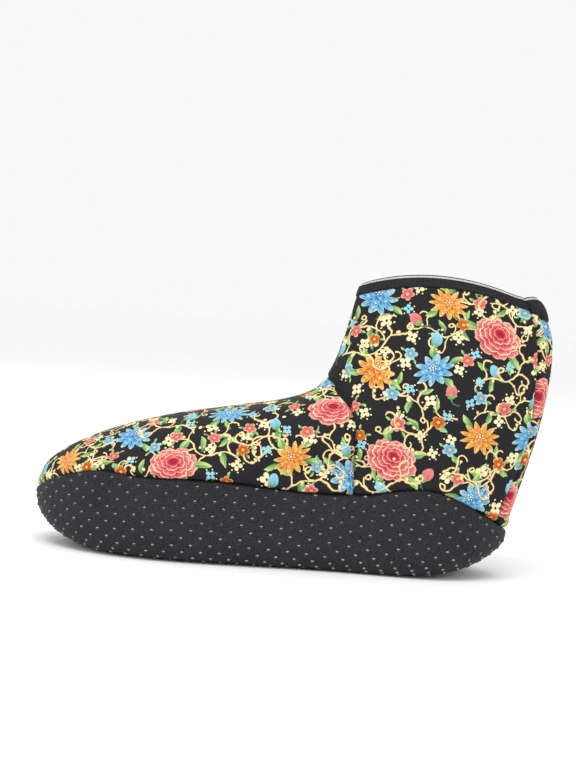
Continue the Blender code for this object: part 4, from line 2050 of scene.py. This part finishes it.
@dataclass
class CollarBand:
    """Plain strip round the mouth, with a pale edge that is a painted highlight along the fold at its top,
    and the raised end of its seam.
    """

    form: SockForm
    row_count: int = 15
    proud: float = 0.0005
    inside: float = 0.0004
    bevel: float = 0.0011
    lip: float = 0.0007
    foot_round: float = 0.0008
    foot_tuck: float = 1.2
    tab_centre: float = math.radians(178.0)
    tab_reach: float = math.radians(14.0)
    tab_rise: float = 0.0044
    tab_bulge: float = 0.0024
    seam_groove: Ridge = Ridge(-0.0012, 0.0, 0.0009)
    seam_lip: Ridge = Ridge(0.0004, 0.0026, 0.0018)
    edge_bulges: tuple[tuple[float, float], ...] = ((0.06, 0.00008), (0.5, 0.00020), (0.94, 0.00008))
    shelf_run: float = 0.0001
    lip_share: float = 0.75
    lip_run: float = 0.00025
    rim_run: float = 0.0008
    inner_run: float = 0.0003

    def build(
        self, finish: bpy.types.Material, rim_highlight: bpy.types.Material, lining: bpy.types.Material
    ) -> bpy.types.Object:
        """Builds the band.

        Args:
            finish: Material of its outer face.
            rim_highlight: Material of the pale edge.
            lining: Material of its inside.

        Returns:
            The piece.
        """
        columns = self.form.columns()
        levels = np.linspace(self.form.band_start, len(UPPER_ROWS) - 1.0, self.row_count)
        grid = self.form.upper_grid(levels, columns)
        normals = outward(grid)
        height = run_up(grid)
        tab = bell(columns, self.tab_centre, self.tab_reach)[None, :]
        swell = np.sqrt(1.0 - (2.0 * height / height[-1:] - 1.0) ** 2)
        relief = self.proud - self.foot_tuck * rolled(height, self.foot_round)
        relief += self.tab_bulge * tab * swell
        aside = self.form.beside_back_seam(grid)
        relief += self.seam_groove.over(aside) + self.seam_lip.over(aside)
        up = np.array([0.0, 0.0, 1.0])
        rise = (height / height[-1:])[..., None] ** 2
        lift = rise * tab[..., None] * self.tab_rise * up
        outer = grid + normals * relief[..., None] + lift - rise * (self.bevel + self.lip) * up
        rim_normal = normals[-1]
        rim = grid[-1] + rim_normal * relief[-1][:, None] + lift[-1]
        shelf = rim - rim_normal * self.bevel - up * self.lip
        edge = np.array([
            outer[-1] + (shelf - outer[-1]) * share + (rim_normal + up) * bulge
            for share, bulge in self.edge_bulges
        ])
        thick = self.form.upper_wall + self.inside
        inner = (grid - normals * thick + lift)[::2]
        top = np.array([
            shelf - rim_normal * self.shelf_run,
            shelf + up * self.lip * self.lip_share - rim_normal * self.lip_run,
            rim - rim_normal * (self.bevel + self.rim_run),
            inner[-1] + rim_normal * self.inner_run,
        ])
        mesh = Mesh()
        outside = mesh.add(outer)
        pale = mesh.add(edge)
        across = mesh.add(top)
        within = mesh.add(inner)
        mesh.skin(outside, 0)
        # The pale edge is a painted highlight along the fold at the band's top.
        mesh.skin(np.concatenate([outside[-1:], pale, across[:1]]), 1)
        mesh.skin(np.concatenate([across, within[::-1], outside[:1]]), 2)
        piece = mesh.made("collar_strip", [finish, rim_highlight, lining])
        around = run_round(grid)[-1]
        between = np.zeros((len(edge) + len(top), len(columns)))
        places = [
            np.stack([np.broadcast_to(around, part.shape), part], axis=-1).reshape(-1, 2)
            for part in (height, between, height[::2])
        ]
        cloth_map(piece, np.concatenate(places))
        return piece


class Lamp(NamedTuple):
    """A soft area light that faces the sock: its place, sizes and power."""

    name: str
    place: tuple[float, float, float]
    size: tuple[float, float]
    power: float


LAMPS = (
    Lamp("top_light", (-0.10, -0.45, 1.05), (0.90, 0.18), 4.6),
    Lamp("front_light", (-0.85, -1.10, 0.80), (0.7, 0.5), 2.0),
    Lamp("side_light", (1.15, -0.60, 0.75), (0.6, 0.5), 1.2),
    Lamp("back_light", (-0.35, 1.25, 0.95), (0.9, 0.25), 2.4),
)


@dataclass(frozen=True)
class Studio:
    """Wide pale floor under a white sky, soft lights, and the camera at the photograph's angle."""

    floor_rings: tuple[float, ...] = (0.4, 1.5, 9.0)
    floor_sides: int = 96
    azimuth: float = math.radians(5.0)
    elevation: float = math.radians(3.0)
    roll: float = math.radians(3.9)
    distance: float = 0.8332
    aim: tuple[float, float, float] = (0.0, 0.0, 0.07)
    aside: float = -0.0010
    above: float = 0.0210
    lens: float = 75.0
    sensor: float = 36.0
    nearest: float = 0.01
    sky: float = 0.95

    def build(self) -> bpy.types.Object:
        """Builds the floor, the lights, the sky and the camera.

        Returns:
            The floor.
        """
        floor = self.floor()
        for lamp in LAMPS:
            self.light(lamp)
        world = bpy.data.worlds.new("studio")
        bpy.context.scene.world = world
        world.use_nodes = True
        sky = world.node_tree.nodes["Background"]
        sky.inputs["Color"].default_value = (1.0, 1.0, 1.0, 1.0)
        sky.inputs["Strength"].default_value = self.sky
        self.camera()
        return floor

    def floor(self) -> bpy.types.Object:
        """Builds a flat round floor.

        Returns:
            The floor.
        """
        turn = math.tau * np.arange(self.floor_sides) / self.floor_sides
        circle = np.stack([np.cos(turn), np.sin(turn), np.zeros(self.floor_sides)], axis=1)
        rings = np.array([radius * circle for radius in self.floor_rings])
        mesh = Mesh()
        numbers = mesh.add(rings)
        mesh.skin(numbers[::-1], 0)
        mesh.close_across(numbers[0], 0, True)
        finish = SolidFinish("pale_floor", (0.98, 0.98, 0.98), (0.99, 0.99, 0.99), 0.8, 4.0)
        return mesh.made("floor", [finish.material()])

    def light(self, lamp: Lamp) -> None:
        """Sets up one light.

        Args:
            lamp: The light.
        """
        data = bpy.data.lights.new(lamp.name, "AREA")
        data.shape = "RECTANGLE"
        data.size, data.size_y = lamp.size
        data.energy = lamp.power
        holder = bpy.data.objects.new(lamp.name, data)
        holder.location = lamp.place
        holder.rotation_euler = (Vector(self.aim) - Vector(lamp.place)).to_track_quat("-Z", "Y").to_euler()
        bpy.context.scene.collection.objects.link(holder)

    def camera(self) -> None:
        """Camera at the photograph's angle, rolled a little."""
        turn, tip, roll = self.azimuth, self.elevation, self.roll
        ahead = Vector((-math.sin(turn) * math.cos(tip), math.cos(turn) * math.cos(tip), -math.sin(tip)))
        right = Vector((math.cos(turn), math.sin(turn), 0.0))
        up = right.cross(ahead)
        rolled_right = right * math.cos(roll) + up * math.sin(roll)
        rolled_up = up * math.cos(roll) - right * math.sin(roll)
        eye = Vector(self.aim) - ahead * self.distance + rolled_right * self.aside + rolled_up * self.above
        data = bpy.data.cameras.new("camera")
        data.lens = self.lens
        data.sensor_width = self.sensor
        data.clip_start = self.nearest
        camera = bpy.data.objects.new("camera", data)
        axes = Matrix((rolled_right, rolled_up, -ahead)).transposed()
        camera.matrix_world = Matrix.Translation(eye) @ axes.to_4x4()
        bpy.context.scene.collection.objects.link(camera)
        bpy.context.scene.camera = camera


class Finish(Enum):
    """Finishes of the sock's plain parts."""

    GRIP_KNIT = KnitFinish(
        "grip_knit", (0.004, 0.004, 0.005), (0.044, 0.044, 0.050), 0.70, 0.0008, 0.00015, 0.03
    )
    BAND_KNIT = KnitFinish(
        "band_knit", (0.005, 0.005, 0.0065), (0.032, 0.032, 0.038), 0.70, 0.0009, 0.00018, 0.03
    )
    LINING_KNIT = KnitFinish(
        "lining_knit", (0.006, 0.006, 0.007), (0.020, 0.020, 0.022), 0.90, 0.0012, 0.00020, 0.02
    )
    # Pale edge of the band: a painted highlight along the fold at its top.
    RIM_HIGHLIGHT = SolidFinish("rim_highlight", (0.34, 0.34, 0.35), (0.60, 0.60, 0.61), 0.85, 1800.0, 0.0001)
    # The dots' second colour is the painted highlight on their upper sides.
    GRIP_DOT = DotFinish("grip_dot", (0.009, 0.009, 0.010), (0.31, 0.31, 0.32), 0.25, 0.17, 0.50)


def place_piece(piece: bpy.types.Object, slot: str, *nodes: str) -> None:
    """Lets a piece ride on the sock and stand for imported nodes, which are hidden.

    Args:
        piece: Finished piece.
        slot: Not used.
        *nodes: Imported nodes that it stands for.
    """
    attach(piece, BODY)
    if nodes:
        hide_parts(*nodes)
    LOG.info("piece %s: %d faces", piece.name, len(piece.data.polygons))


def main() -> None:
    """Builds the sock's pieces and the studio."""
    logging.basicConfig(level=logging.INFO, format="%(name)s: %(message)s")
    bpy.context.scene.view_settings.view_transform = "Standard"
    form = SockForm()
    knit = shader_group("knit_loops", ("Along", "Up", "Pitch"), ("Height", "Shade"), draw_knit)
    lining = Finish.LINING_KNIT.value.material(knit)
    place_piece(PrintedUpper(form).build(knit, lining), "printed_knit", "upper")
    sole = GripSole(form)
    place_piece(sole.build(Finish.GRIP_KNIT.value.material(knit), lining), "grip_knit", "sole")
    place_piece(sole.dots(Finish.GRIP_DOT.value.material()), "grip_knit")
    band_finish = Finish.BAND_KNIT.value.material(knit)
    band = CollarBand(form).build(band_finish, Finish.RIM_HIGHLIGHT.value.material(), lining)
    place_piece(band, "band_knit", "collar_band")
    floor = Studio().build()


if __name__ == "__main__":
    main()
